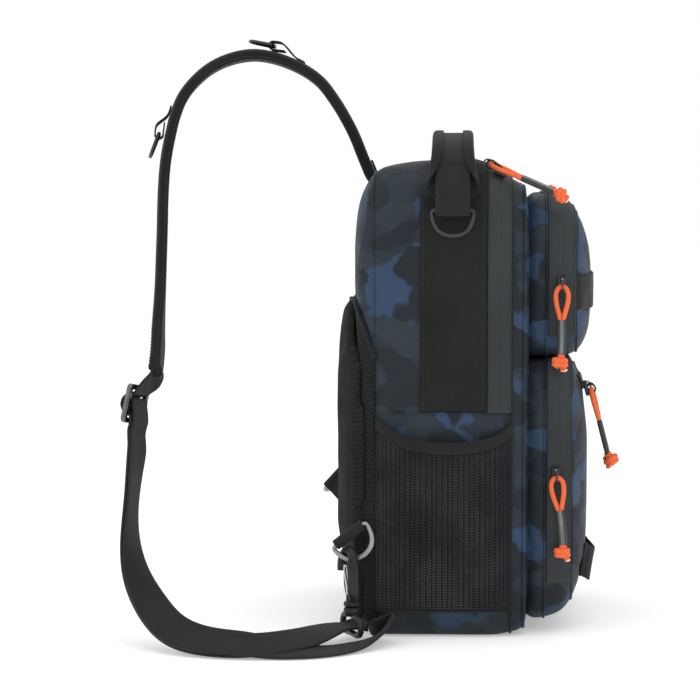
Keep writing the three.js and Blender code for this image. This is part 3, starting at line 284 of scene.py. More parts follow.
def through(points, steps, closed=False):
    """Points on a smooth curve through a list of points, with so many steps to a span."""
    if closed:
        ends = [points[-1], *points, points[0], points[1]]
    else:
        ends = [points[0] * 2 - points[1], *points, points[-1] * 2 - points[-2]]
    spans = len(ends) - 3
    line = []
    for i in range(spans):
        line += [span_point(*ends[i:i + 4], k / steps) for k in range(steps)]
    return line if closed else [*line, points[-1].copy()]


def distances(points):
    total = [0.0]
    for a, b in zip(points, points[1:]):
        total.append(total[-1] + (b - a).length)
    return total


def spaced(points, count):
    """A line's points moved to equal distances, count of them."""
    total = distances(points)
    line, k = [], 0
    for i in range(count):
        want = total[-1] * i / (count - 1)
        while k < len(points) - 2 and total[k + 1] < want:
            k += 1
        share = (want - total[k]) / max(total[k + 1] - total[k], TINY)
        line.append(points[k].lerp(points[k + 1], min(1.0, share)))
    return line


def tangents(points, closed=False):
    count = len(points)
    found = []
    for i in range(count):
        before = points[i - 1] if closed or i else points[0]
        after = points[(i + 1) % count] if closed or i + 1 < count else points[-1]
        found.append((after - before).normalized())
    return found


def carried(points, closed=False):
    """Two directions across a line at each of its points, carried along it without twist."""
    along = tangents(points, closed)
    first = along[0].orthogonal().normalized()
    sides = [first]
    for direction in along[1:]:
        side = sides[-1] - direction * sides[-1].dot(direction)
        sides.append(side.normalized())
    if closed:
        last = sides[-1] - along[0] * sides[-1].dot(along[0])
        turn = atan2(last.cross(first).dot(along[0]), last.dot(first))
        count = len(points)
        sides = [Matrix.Rotation(turn * i / count, 3, along[i]) @ s for i, s in enumerate(sides)]
    return [(side, direction.cross(side)) for side, direction in zip(sides, along)]


# Building blocks: grids laid along curves and surfaces

def grid(name, columns, rows, place, measure=None):
    """A grid of cloth whose points are put where place says, from their shares across and along."""
    bpy.ops.object.select_all(action="DESELECT")
    bpy.ops.mesh.primitive_grid_add(x_subdivisions=columns, y_subdivisions=rows, size=2)
    obj = named(bpy.context.object, name)
    for vertex in obj.data.vertices:
        vertex.co = place((vertex.co.x + 1) / 2, (vertex.co.y + 1) / 2)
    if measure:
        for loop in obj.data.uv_layers.active.data:
            loop.uv = measure(*loop.uv)
    return obj


def round_body(name, centres, axes, radii, sides, measure=None):
    """Rings round a line of centres, closed at both ends or where they meet."""
    last = len(centres) - 1

    def place(u, v):
        i, angle = round(v * last), 2 * pi * u
        side, lift = axes[i]
        return centres[i] + (side * cos(angle) + lift * sin(angle)) * radii[i]

    obj = grid(name, sides, last, place, measure)
    close_seams(obj)
    return obj


def tube(name, points, radius, sides=12, closed=False):
    """A round cord along points. radius is a number, a list, or gives a number from the share of the way."""
    line = [*points, points[0]] if closed else points
    axes = carried(points, closed)
    axes = [*axes, axes[0]] if closed else axes
    total = distances(line)
    radii = radius
    if callable(radius):
        radii = [radius(way / total[-1]) for way in total]
    elif not isinstance(radius, list):
        radii = [radius] * len(line)
    return round_body(name, line, axes, radii, sides, lambda u, v: (u, total[round(v * (len(line) - 1))]))


def turned(name, foot, up, profile, sides=32):
    """A turned piece: rows of distance up its axis and radius, in millimetres."""
    across = up.orthogonal().normalized()
    axes = [(across, up.cross(across))] * len(profile)
    centres = [foot + up * height * MM for height, _ in profile]
    return round_body(name, centres, axes, [radius * MM for _, radius in profile], sides)


STRIP_EDGE = 0.32


def ribbon(name, rows, thickness=None, columns=6):
    """Webbing along rows of (point, direction across it)."""
    width, thickness = sizes().webbing_width, thickness or sizes().webbing
    total = distances([at for at, _ in rows])
    last = len(rows) - 1

    def place(u, v):
        at, across = rows[round(v * last)]
        return at + across * (u - 0.5) * width

    def measure(u, v):
        return (u - 0.5) * width, total[round(v * last)]

    obj = grid(name, columns, last, place, measure)
    thicken(obj, thickness, even=False)
    round_edges(obj, thickness * STRIP_EDGE)
    return obj


# Stitching

STITCH_WAVE = (0.1, 0.5, 0.5, 0.1, -1.0, -1.0)
THREAD_SIDES = 5
TACK_PITCH = 0.75 * MM
TACK_REACH = 0.9 * MM
TACK_RISE = 0.2


def stitch_line(name, points, outs):
    """Thread that comes up through the cloth, lies on it for a stitch and goes down again."""
    beats = len(STITCH_WAVE)
    count = beats * max(2, round(distances(points)[-1] / sizes().stitch))
    line = []
    for k, point in enumerate(spaced(points, count + 1)):
        out = outs[round(k / count * (len(outs) - 1))]
        line.append(point + out * STITCH_WAVE[k % beats] * sizes().thread)
    return tube(name, line, sizes().thread / 2, THREAD_SIDES)


def bar_tack(name, at, across, along, out, width):
    """A dense zigzag of thread sewn across a strip."""
    count = round(width / TACK_PITCH)
    line = []
    for k in range(count + 1):
        step = along * TACK_REACH * (-1) ** k
        line.append(at + across * width * (k / count - 0.5) + step + out * sizes().thread * TACK_RISE)
    return tube(name, line, sizes().thread / 2, THREAD_SIDES)


# Reading the frame: copies of a node and rings of its points

def copy_of(node, name):
    """A copy of a node on its own, with its doubled points merged."""
    select_only(frame["nodes"][node])
    bpy.ops.object.duplicate()
    obj = named(bpy.context.object, name)
    for key in list(obj.keys()):
        del obj[key]
    obj.parent = None
    edit(obj, MERGE)
    return obj


def is_flat(vertex):
    normals = [face.normal for face in vertex.link_faces]
    return all(normals[0].dot(normal) > 0.9999 for normal in normals)


def rings_of(node, corners, start):
    """A node's rings of points in order, from the cap whose middle has the least start."""
    mesh = bmesh.new()
    mesh.from_mesh(frame["nodes"][node].data)
    bmesh.ops.remove_doubles(mesh, verts=mesh.verts, dist=WELD)
    mesh.normal_update()
    caps = [v for v in mesh.verts if len(v.link_edges) == corners and (corners > 6 or is_flat(v))]
    if not caps:
        raise RuntimeError(f"{node} has no cap with {corners} corners")
    ring = [min(caps, key=lambda v: start(v.co))]
    seen, rings = set(ring), []
    while ring:
        around = {edge.other_vert(v) for v in ring for edge in v.link_edges} - seen
        ring = sorted(around, key=lambda v: v.index)
        seen.update(ring)
        if len(ring) == corners:
            rings.append([v.co.copy() for v in ring])
    mesh.free()
    return rings


def middle(points):
    return sum(points, Vector((0, 0, 0))) / len(points)


def strip_rows(node, start, steps):
    """The middle line of a strip and the direction across it, smoothed to so many steps a span."""
    ats, acrosses = [], []
    for ring in rings_of(node, 4, start):
        others = sorted(ring[1:], key=lambda p: (p - ring[0]).length)
        across = (others[1] - ring[0]).normalized()
        if acrosses and across.dot(acrosses[-1]) < 0:
            across.negate()
        ats.append(middle(ring))
        acrosses.append(across)
    line, turns = through(ats, steps), through(acrosses, steps)
    rows = []
    for at, turn, along in zip(line, turns, tangents(line)):
        rows.append((at, (turn - along * turn.dot(along)).normalized()))
    return rows


# Cloth shells: rows of points from the rim to the crown, with a swelling simulation

# How far apart the points are that give a direction off the shell, in steps round and along it
NORMAL_AROUND = 1.5
NORMAL_ALONG = 0.8
# The share of the way round at which the near side starts and ends, and how often it is halved in a search
NEAR_SIDE = (0.03, 0.5)
HALVINGS = 24


class Skin:
    """A cloth shell as rows of points round the bag, that trim pieces are laid on."""

    def __init__(self, rows):
        self.rows = rows
        self.depths = [middle(row).y for row in rows]
        self.tree = None

    def down(self, y):
        """Where along the rows a depth lies."""
        for i, (a, b) in enumerate(zip(self.depths, self.depths[1:])):
            if (a - y) * (b - y) <= 0 and a != b:
                return i + (y - a) / (b - a)
        raise RuntimeError(f"no row of the shell lies at {y}")

    def point(self, around, down):
        count, last = len(self.rows[0]), len(self.rows) - 1
        place = around % 1.0 * count
        i, j = int(place) % count, min(int(down), last - 1)
        s, t = place - int(place), down - j
        low = self.rows[j][i].lerp(self.rows[j][(i + 1) % count], s)
        high = self.rows[j + 1][i].lerp(self.rows[j + 1][(i + 1) % count], s)
        return low.lerp(high, t)

    def normal(self, around, down):
        """The outward direction, from points a little apart, kept pointing off the bag's middle."""
        step, last = NORMAL_AROUND / len(self.rows[0]), len(self.rows) - 1
        low, high = max(0.0, down - NORMAL_ALONG), min(float(last), down + NORMAL_ALONG)
        across = self.point(around + step, down) - self.point(around - step, down)
        along = self.point(around, high) - self.point(around, low)
        normal = across.cross(along).normalized()
        spot = self.point(around, down)
        centre = middle(self.rows[round(down)])
        return normal if normal.dot(spot - centre) > 0 else -normal

    def on(self, around, down, rise):
        return self.point(around, down) + self.normal(around, down) * rise

    def around_at(self, down, z):
        """The share of the way round, up the near side, at which a height is reached."""
        low, high = NEAR_SIDE
        for _ in range(HALVINGS):
            half = (low + high) / 2
            if self.point(half, down).z < z:
                low = half
            else:
                high = half
        return low

    def side(self, sign, y, z, rise):
        """A point on one side of the shell at a depth and height."""
        down = self.down(y)
        share = self.around_at(down, z)
        return self.on(share if sign < 0 else 1 - share, down, rise)

    def front(self, x, z, rise):
        """A point on the shell's front face."""
        hit = self.tree.ray_cast(Vector((x, -1, z)), Vector((0, 1, 0)))[0]
        if hit is None:
            raise RuntimeError(f"nothing of the front face at {x}, {z}")
        return hit + Vector((0, -1, 0)) * rise


RING_STEPS = 8
COLUMN_STEPS = 12
SHELL_CORNERS = 28
CROWN_NEAR = 3 * MM


def ring_line(ring, count):
    """A ring's points in order from the middle of its bottom, up the near side, smoothed and spaced."""
    centre = middle(ring)
    order = sorted(ring, key=lambda p: atan2(-(p.x - centre.x), -(p.z - centre.z)))
    lowest = min(range(len(order)), key=lambda i: (order[i].z > centre.z, abs(order[i].x)))
    order = order[lowest:] + order[:lowest]
    if order[1].x > order[-1].x:
        order = [order[0], *order[:0:-1]]
    line = through(order, RING_STEPS, closed=True)
    return spaced([*line, line[0]], count + 1)[:-1]


def shell_rows(node, towards, count, spacing):
    """Rows of points on the outside of a cup-shaped shell, from its rim to the edge of its crown."""
    rings = rings_of(node, SHELL_CORNERS, lambda p: -towards * p.y)
    outer = [ring_line(ring, count) for ring in rings[:len(rings) // 2]][::-1]
    columns = [through(list(column), COLUMN_STEPS) for column in zip(*outer)]
    picks = [0]
    for i, (row, after) in enumerate(zip(outer, outer[1:])):
        steps = max(1, round((row[count // 4] - after[count // 4]).length / spacing))
        picks += [i * COLUMN_STEPS + round(COLUMN_STEPS * k / steps) for k in range(1, steps + 1)]
    return [[column[i] for column in columns] for i in picks]


def shell_mesh(name, rows):
    count, last = len(rows[0]), len(rows) - 1

    def place(u, v):
        return rows[round(v * last)][round(u * count) % count]

    obj = grid(name, count, last, place)
    edit(obj, MERGE)
    bpy.ops.object.mode_set(mode="EDIT")
    mesh = bmesh.from_edit_mesh(obj.data)
    bpy.ops.mesh.select_all(action="DESELECT")
    crown = middle(rows[-1]).y
    mesh.select_mode = {"EDGE"}
    for edge in mesh.edges:
        near = abs(middle([v.co for v in edge.verts]).y - crown) < CROWN_NEAR
        edge.select = edge.is_boundary and near
    mesh.select_flush_mode()
    bmesh.update_edit_mesh(obj.data)
    bpy.ops.mesh.fill_grid()
    bpy.ops.object.mode_set(mode="OBJECT")
    edit(obj, FACE_OUT)
    return obj


SWELL_FRAMES = 20
SWELL_STIFFNESS = 1.2


def swell(obj, weight_of, pressure, growth, limit):
    """Fills a cloth shell by simulation. weight_of says how firmly a point is sewn, from 0 to 1."""
    rest = [v.co.copy() for v in obj.data.vertices]
    group = obj.vertex_groups.new(name="sewn")
    for i, co in enumerate(rest):
        group.add([i], weight_of(co), "REPLACE")
    select_only(obj)
    cloth = obj.modifiers.new("Cloth", "CLOTH")
    cloth.settings.vertex_group_mass = group.name
    cloth.settings.effector_weights.gravity = 0
    cloth.settings.use_pressure = True
    cloth.settings.uniform_pressure_force = pressure
    cloth.settings.shrink_min = -growth
    cloth.settings.bending_stiffness = SWELL_STIFFNESS
    cloth.point_cache.frame_start = 1
    cloth.point_cache.frame_end = SWELL_FRAMES
    for number in range(1, SWELL_FRAMES + 1):
        bpy.context.scene.frame_set(number)
    bpy.ops.object.modifier_apply(modifier=cloth.name)
    bpy.context.scene.frame_set(1)
    for vertex, start in zip(obj.data.vertices, rest):
        move = vertex.co - start
        if move.length > TINY:
            vertex.co = start + move.normalized() * limit * tanh(move.length / limit)
    obj.vertex_groups.clear()


# Materials: shared effects as node groups

class Nodes:
    """Adds nodes to a tree and links them by value: a socket is linked, anything else is set."""

    def __init__(self, tree):
        self.tree = tree

    def add(self, kind, settings=None, **inputs):
        node = self.tree.nodes.new(f"ShaderNode{kind}")
        for key, value in (settings or {}).items():
            setattr(node, key, value)
        for key, value in inputs.items():
            place = int(key[1:]) if key[1:].isdigit() else key.replace("_", " ")
            self.put(node.inputs[place], value)
        return node

    def put(self, socket, value):
        if isinstance(value, bpy.types.NodeSocket):
            self.tree.links.new(value, socket)
        else:
            socket.default_value = value

    def math(self, operation, a, b=0.0, c=0.0):
        return self.add("Math", {"operation": operation}, i0=a, i1=b, i2=c).outputs[0]

    def scaled(self, value, by, plus=0.0):
        return self.math("MULTIPLY_ADD", value, by, plus)

    def mix(self, share, a, b):
        return self.add("Mix", {"data_type": "RGBA"}, i0=share, i6=a, i7=b).outputs[2]

    def step(self, value, low, high):
        """0 below low, 1 above high and smooth between them."""
        kind = {"interpolation_type": "SMOOTHSTEP"}
        return self.add("MapRange", kind, Value=value, From_Min=low, From_Max=high).outputs["Result"]

    def noise(self, vector, scale, detail=2.0, roughness=0.6):
        inputs = {"Vector": vector, "Scale": scale, "Detail": detail, "Roughness": roughness}
        return self.add("TexNoise", **inputs).outputs

    def parts(self, vector):
        return self.add("SeparateXYZ", i0=vector).outputs

    def group(self, name, **inputs):
        return self.add("Group", {"node_tree": bpy.data.node_groups[name]}, **inputs).outputs


def new_group(name, inputs, outputs):
    """A new node group: its nodes, the values given to it, and the sockets that it fills."""
    tree = bpy.data.node_groups.new(name, "ShaderNodeTree")
    for socket, kind in inputs.items():
        tree.interface.new_socket(socket, in_out="INPUT", socket_type=f"NodeSocket{kind}")
    for socket in outputs:
        tree.interface.new_socket(socket, in_out="OUTPUT", socket_type="NodeSocketFloat")
    given = tree.nodes.new("NodeGroupInput").outputs
    return Nodes(tree), given, tree.nodes.new("NodeGroupOutput").inputs


TURN = 2 * pi / MM


def make_weave():
    """Fine plain weave on any face, from Object coordinates."""
    nodes, given, ends = new_group("Plain weave", {"Vector": "Vector", "Pitch": "Float"}, ["Height"])
    rate = nodes.math("DIVIDE", TURN, given["Pitch"])
    turns = [nodes.math("MULTIPLY", part, rate) for part in nodes.parts(given["Vector"])]
    x, y, z = [nodes.math("SINE", turn) for turn in turns]
    total = nodes.math("ADD", nodes.math("ADD", x, y), z)
    nodes.put(ends["Height"], nodes.scaled(total, 0.17, 0.5))


def make_strip():
    """Webbing: ribs along the strip crossed by short picks, from a UV map in metres."""
    sockets = {"Vector": "Vector", "Rib": "Float", "Pick": "Float"}
    nodes, given, ends = new_group("Strip weave", sockets, ["Height"])
    parts = nodes.parts(given["Vector"])
    across = nodes.math("MULTIPLY", parts[0], nodes.math("DIVIDE", TURN, given["Rib"]))
    along = nodes.math("MULTIPLY", parts[1], nodes.math("DIVIDE", TURN, given["Pick"]))
    rib = nodes.math("SINE", across)
    pick = nodes.math("SINE", nodes.scaled(nodes.math("SIGN", rib), pi / 2, along))
    height = nodes.math("MULTIPLY", nodes.math("ABSOLUTE", rib), nodes.scaled(pick, 0.3, 0.7))
    nodes.put(ends["Height"], height)


def make_wear():
    """Slow changes of tone and dust over a surface."""
    nodes, given, ends = new_group("Wear", {"Vector": "Vector", "Scale": "Float"}, ["Tone", "Specks"])
    tone = nodes.noise(given["Vector"], given["Scale"], 4.0)[0]
    fine = nodes.noise(given["Vector"], 900.0, 2.0, 0.7)[0]
    nodes.put(ends["Tone"], nodes.step(tone, 0.3, 0.7))
    nodes.put(ends["Specks"], nodes.step(fine, 0.35, 0.75))


class Looks(Nodes):
    """A material with a Principled shader, and the shared groups on it."""

    def __init__(self, name):
        material = bpy.data.materials.new(LOOK + name)
        material.use_nodes = True
        super().__init__(material.node_tree)
        self.shader = self.tree.nodes["Principled BSDF"]
        coordinates = self.add("TexCoord").outputs
        self.place, self.uv = coordinates["Object"], coordinates["UV"]

    def set(self, **values):
        for key, value in values.items():
            self.put(self.shader.inputs[key.replace("_", " ")], value)

    def bump(self, height, strength, depth):
        made = self.add("Bump", Height=height, Strength=strength, Distance=depth)
        self.set(Normal=made.outputs[0])

    def wear(self, scale):
        return self.group("Wear", Vector=self.place, Scale=scale)

    def weave(self, pitch):
        return self.group("Plain weave", Vector=self.place, Pitch=pitch)["Height"]

    def tinted(self, base, tone, darker, lighter):
        """The base colour, darker or lighter by a slow tone."""
        low = (*[c * darker for c in base], 1)
        high = (*[c * lighter for c in base], 1)
        return self.mix(tone, low, high)


# The print: how flat its blobs lie, how far and how finely their edges drift, and how soft the edges are
PRINT_FLAT = (1.0, 1.0, 1.35)
PRINT_DRIFT = (0.012, 0.012, 0.012)
PRINT_DRIFT_RATE = 2.2
PRINT_BLUR = 0.02
# The print's colours over its ground: how fine the blobs are, their place in the noise, and where they start
PRINT_LAYERS = (("camo_grey", 0.9, 0.0, 0.5), ("camo_blue", 1.0, 0.31, 0.545),
                ("camo_dark", 1.05, 0.77, 0.53))
# Painted shade: the cloth's colour is darkened towards the floor, to half at the floor
PAINTED_BOTTOM_SHADE_TOP = 0.05
PAINTED_BOTTOM_SHADE = 0.5


def print_shade(looks):
    """The colour of the camouflage print: layers of blobs over the ground."""
    tones, scale = colours(), 1 / sizes().camo_blob
    flat = looks.add("Mapping", Vector=looks.place, Scale=PRINT_FLAT).outputs[0]
    drift = looks.noise(flat, scale * PRINT_DRIFT_RATE, 2.0, 0.5)["Color"]
    moving = {"operation": "MULTIPLY_ADD"}
    shift = looks.add("VectorMath", moving, i0=drift, i1=PRINT_DRIFT, i2=flat).outputs[0]
    shade = (*tones.camo_base, 1)
    for key, rate, offset, level in PRINT_LAYERS:
        place = (offset, offset * 2, offset * 3)
        layer = looks.add("Mapping", Vector=shift, Location=place).outputs[0]
        blobs = looks.noise(layer, scale * rate, 1.2, 0.45)[0]
        share = looks.step(blobs, level - PRINT_BLUR, level + PRINT_BLUR)
        shade = looks.mix(share, shade, (*getattr(tones, key), 1))
    return shade


def camo_material():
    """Coated cloth with a generic camouflage print of blue, grey and near-black blobs."""
    looks = Looks("camo_cloth")
    wear = looks.wear(9.0)
    # Painted shade near the floor, multiplied into the cloth's random tone
    painted_bottom_shade = looks.scaled(looks.step(looks.parts(looks.place)[2], 0.0, PAINTED_BOTTOM_SHADE_TOP), PAINTED_BOTTOM_SHADE, 1 - PAINTED_BOTTOM_SHADE)
    light = looks.math("MULTIPLY", looks.scaled(wear["Tone"], 0.22, 0.9), painted_bottom_shade)
    tinted = looks.add("HueSaturation", Color=print_shade(looks), Value=light).outputs[0]
    pucker = looks.noise(looks.place, 85.0, 3.0, 0.55)[0]
    looks.set(Base_Color=tinted, Specular_IOR_Level=0.26, Roughness=looks.scaled(wear["Specks"], 0.12, 0.54))
    looks.bump(looks.scaled(pucker, 5.0, looks.weave(0.62)), 0.28, 0.0004)


def woven_material(name, base, rib, pick):
    """Webbing and tape, darker between the ribs of their weave."""
    looks = Looks(name)
    height = looks.group("Strip weave", Vector=looks.uv, Rib=rib, Pick=pick)["Height"]
    tone = looks.math("MULTIPLY", height, looks.scaled(looks.wear(18.0)["Tone"], 0.4, 0.6))
    looks.set(Base_Color=looks.tinted(base, tone, 0.55, 1.6), Roughness=0.78,
              Specular_IOR_Level=0.3, Sheen_Weight=0.1, Sheen_Roughness=0.4)
    looks.bump(height, 0.55, 0.00035)


def cloth_material(name, base, pitch, roughness=0.85, patches=14.0, tones=(0.8, 1.3)):
    """Plain cloth, net and thread."""
    looks = Looks(name)
    wear = looks.wear(patches)
    looks.set(Base_Color=looks.tinted(base, wear["Tone"], *tones), Specular_IOR_Level=0.25,
              Roughness=looks.scaled(wear["Specks"], 0.1, roughness - 0.05),
              Sheen_Weight=0.1, Sheen_Roughness=0.4)
    looks.bump(looks.weave(pitch), 0.5, 0.0003)


def spacer_material():
    """Spacer mesh of the back pad: rows of small holes, turned in the plane of the face."""
    looks = Looks("spacer_mesh")
    turn, base = radians(38), colours().spacer
    flat = looks.add("Mapping", Vector=looks.place, Rotation=(turn, turn, 0)).outputs[0]
    cells = looks.add("TexVoronoi", {"feature": "F1"}, Vector=flat, Scale=480.0, Randomness=0.12).outputs
    holes = looks.step(cells["Distance"], 0.22, 0.5)
    tone = looks.wear(16.0)["Tone"]
    shade = looks.mix(holes, looks.tinted(base, tone, 0.4, 0.55), looks.tinted(base, tone, 1.2, 1.8))
    looks.set(Base_Color=shade, Roughness=0.9, Specular_IOR_Level=0.2)
    looks.bump(holes, 0.9, 0.0009)


def coated_material():
    """Rubber-coated zip tape with a faint grain."""
    looks = Looks("zip_tape")
    wear = looks.wear(10.0)
    looks.set(Base_Color=looks.tinted(colours().zip_tape, wear["Tone"], 0.82, 1.18),
              Specular_IOR_Level=0.35, Roughness=looks.scaled(wear["Specks"], 0.1, 0.52))
    looks.bump(looks.noise(looks.place, 700.0)[0], 0.18, 0.0002)


def hard_material(name, base, patches, lighter, roughness, grain, strength, **settings):
    """Metal and plastic with a fine grain and handling marks. grain is its fineness and its stretch."""
    looks = Looks(name)
    tone = looks.wear(patches)["Tone"]
    looks.set(Base_Color=looks.tinted(base, tone, 0.8, lighter),
              Roughness=looks.scaled(tone, 0.14, roughness), **settings)
    stretched = looks.add("Mapping", Vector=looks.place, Scale=grain[1]).outputs[0]
    looks.bump(looks.noise(stretched, grain[0])[0], strength, 0.0001)


def metal_material(name, base, roughness):
    hard_material(name, base, 60.0, 1.25, roughness, (1500.0, (1.0, 1.0, 0.12)), 0.12, Metallic=1.0)


def plastic_material(name, base, roughness, gloss=0.5):
    hard_material(name, base, 45.0, 1.4, roughness, (1200.0, (1.0, 1.0, 1.0)), 0.15, Specular_IOR_Level=gloss)


def sleeve_material():
    """Shrunk sleeve with a painted highlight along the crease between its two strands, from a UV map of
    turns.
    """
    looks = Looks("sleeve")
    turns = looks.math("MULTIPLY", looks.parts(looks.uv)[0], 2 * pi)
    crease = looks.step(looks.math("ABSOLUTE", looks.math("SINE", turns)), 0.9, 1.0)
    tone = looks.wear(45.0)["Tone"]
    # Painted highlight: the colour runs from 0.6 times the sleeve's own away from the crease to 4.2 times
    # along it
    painted_highlight = looks.math("MULTIPLY", crease, looks.scaled(tone, 0.5, 0.5))
    looks.set(Base_Color=looks.tinted(colours().sleeve, painted_highlight, 0.6, 4.2), Specular_IOR_Level=0.4,
              Roughness=looks.scaled(tone, 0.14, 0.3))


def braid_material():
    """Braided cord: two sets of strands crossing round it, from a UV map of turns and metres."""
    looks = Looks("orange_cord")
    parts = looks.parts(looks.uv)
    along = looks.math("MULTIPLY", parts[1], TURN / 2.6)
    turns = looks.math("MULTIPLY", parts[0], 2 * pi * 4)
    left, right = [looks.math("SINE", looks.math(way, along, turns)) for way in ("ADD", "SUBTRACT")]
    height = looks.math("MAXIMUM", left, right)
    looks.set(Base_Color=looks.tinted(colours().cord, looks.step(height, -0.2, 0.9), 0.85, 1.03),
              Roughness=0.68, Specular_IOR_Level=0.3, Sheen_Weight=0.15, Sheen_Roughness=0.4)
    looks.bump(height, 0.4, 0.0003)


def floor_material():
    """White floor that glows a little, so that it stays white under the bag."""
    looks = Looks("studio_floor")
    tone = looks.tinted(colours().floor, looks.wear(2.0)["Tone"], 0.99, 1.0)
    looks.set(Base_Color=tone, Roughness=0.8, Specular_IOR_Level=0.1,
              Emission_Color=tone, Emission_Strength=0.36)


class SLING_OT_finishes(bpy.types.Operator):
    """Make the materials of the cloth, the fittings and the cords"""
    bl_idname = "sling.finishes"
    bl_label = "Finishes"

    def execute(self, context):
        tones = colours()
        for make in (make_weave, make_strip, make_wear, camo_material, coated_material, spacer_material,
                     sleeve_material, braid_material, floor_material):
            make()
        cloth_material("black_cloth", tones.black_cloth, 0.8)
        cloth_material("net", tones.net, 0.5, 0.75, patches=24.0, tones=(0.55, 1.55))
        cloth_material("thread", tones.thread, 0.3, 0.7)
        woven_material("webbing", tones.webbing, 1.5, 1.1)
        woven_material("binding", tones.black_cloth, 0.9, 0.9)
        metal_material("dark_metal", tones.dark_metal, 0.3)
        metal_material("grey_metal", tones.grey_metal, 0.28)
        metal_material("steel_wire", tones.steel, 0.12)
        metal_material("slider_finish", tones.slider, 0.16)
        plastic_material("black_plastic", tones.plastic, 0.22, 0.25)
        plastic_material("cord_end", tones.cord_end, 0.5)
        return {"FINISHED"}


# Stage

FLOOR_HALF = 7.0
SENSOR = 36
# Each light's place, the point that it faces, and its size
LIGHTS = {
    "top": ((-0.2, 0.05, 1.9), (0, 0.05, 0.2), 2.2),
    "key": ((-1.7, -1.5, 1.1), (0, 0, 0.2), 1.4),
    "back": ((-1.2, 1.9, 1.0), (0, 0.1, 0.2), 1.4),
}


def facing(place, aim):
    return (Vector(aim) - Vector(place)).to_track_quat("-Z", "Y").to_euler()


def area_light(name, place, aim, size, power):
    bpy.ops.object.light_add(type="AREA", location=place)
    lamp = bpy.context.object
    lamp.name = name
    lamp.rotation_euler = facing(place, aim)
    lamp.data.size = size
    lamp.data.energy = power


def white_room(strength):
    """White for the camera, and a softer light from all round for the object."""
    world = bpy.data.worlds.new("White room")
    world.use_nodes = True
    bpy.context.scene.world = world
    nodes = Nodes(world.node_tree)
    sky = world.node_tree.nodes["Background"]
    sky.inputs["Color"].default_value = (1, 1, 1, 1)
    seen = nodes.add("LightPath").outputs["Is Camera Ray"]
    nodes.put(sky.inputs["Strength"], nodes.scaled(seen, 1.0 - strength, strength))


class SLING_OT_stage(bpy.types.Operator):
    """Set up the floor, the light and the camera"""
    bl_idname = "sling.stage"
    bl_label = "Stage"

    def execute(self, context):
        stage = context.scene.sling_stage
        floor = grid("studio_floor", 8, 8, lambda u, v: Vector((u - 0.5, v - 0.5, 0)) * 2 * FLOOR_HALF)
        floor.data.materials.append(bpy.data.materials[LOOK + "studio_floor"])
        floor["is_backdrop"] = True
        bpy.ops.object.camera_add(location=stage.eye)
        camera = bpy.context.object
        camera.name = "photo_camera"
        camera.rotation_euler = facing(stage.eye, stage.aim)
        camera.data.lens = stage.lens
        camera.data.sensor_width = SENSOR
        context.scene.camera = camera
        context.scene.view_settings.view_transform = "Standard"
        for name, (place, aim, size) in LIGHTS.items():
            area_light(f"{name}_softbox", place, aim, size, getattr(stage, f"{name}_light"))
        white_room(stage.sky)
        return {"FINISHED"}


# Zip pulls: slider, looped cord, sleeve and knot

# The slider's body, the shifts of its two ends, the bar on it, and the tab with its hole, in millimetres
ZIP_SLIDER = Measures(length=9, width=7, back_width=5, height=3, mouth=0.72, edge=0.9)
SLIDER_SHIFT = (6.5, 9)
BRIDGE_LINE = ((-3.6, 1.2), (-3, 2.6), (-1, 3.5), (1.6, 3.3), (3, 1.2))
BRIDGE_WIRE = 0.85
TAB = Measures(rim=3.8, hole=2.5, neck=1.5, run=3, wide=3.6, narrow=2.3, reach=4.5,
               back_reach=9.5, thickness=1.2, edge=0.3, corners=32)
HOLE_DOWN = 9
TAB_RISE = 3.6
STRAND_APART = 1.15
# The cord's squeeze in the sleeve, and the shares of its length between which it comes on
SQUEEZE = 0.78
SQUEEZE_FROM = 0.235
SQUEEZE_FADE = 0.05
SLEEVE_START = 33
SLEEVE_END = 59
SLEEVE = Measures(half=STRAND_APART + 2.0, depth=2.1, square=0.75, ends=0.1, waist=0.13, bow=0.2,
                  wall=0.5)
# Half of the cord's way from the slider's hole to the knot, in millimetres down and to the side
CORD_HALF = ((0, 0), (1.1, 2.6), (4.6, 4.3), (10, 4.3), (16, 3.1), (20.5, 1.9), (24, 1.3),
             (28, STRAND_APART), (39, STRAND_APART), (49.65, STRAND_APART))
# Where each slider sits, which way its seat faces, which way the pull hangs, its turn about that, how wide
# its loop stands, and whether the slider's tab lies back against the pull
PULLS = (
    ("main_near", (-90.7, -39.7, 335.7), (-0.43, -0.48, 0.76), (-0.02, -0.914, -0.405), 0, 0.55, True),
    ("main_far", (90.7, -39.7, 335.7), (0.43, -0.48, 0.76), (0.02, -0.914, -0.405), 0, 0.55, True),
    ("upper", (-93.3, -84.3, 263), (-1, 0, 0), (-0.075, 0.01, -1), 0, 1, False),
    ("lower", (-98.2, -80, 125), (-1, 0, 0), (-0.02, -0.1, -1), 0, 1, False),
    ("front", (-55, -102.2, 184.5), (0, -1, 0), (0, -0.25, -0.97), 12, 1, False),
)
TAB_BACK = Matrix.Rotation(pi, 4, "Z")
CORD_BACK = Matrix.Translation((-2 * HOLE_DOWN * MM, 0, 0))


def pull_places(at, out, down, twist):
    """Two placings of a pull: on its seat, and turned about its length for the tab and the cord."""
    down = Vector(down).normalized()
    seat = Vector(out)
    seat = (seat - down * seat.dot(down)).normalized()
    placings = []
    for turn in (0, radians(twist)):
        lift = Matrix.Rotation(turn, 3, down) @ seat
        basis = Matrix((down, lift.cross(down), lift)).transposed().to_4x4()
        placings.append(Matrix.Translation(mm(*at)) @ basis)
    return placings


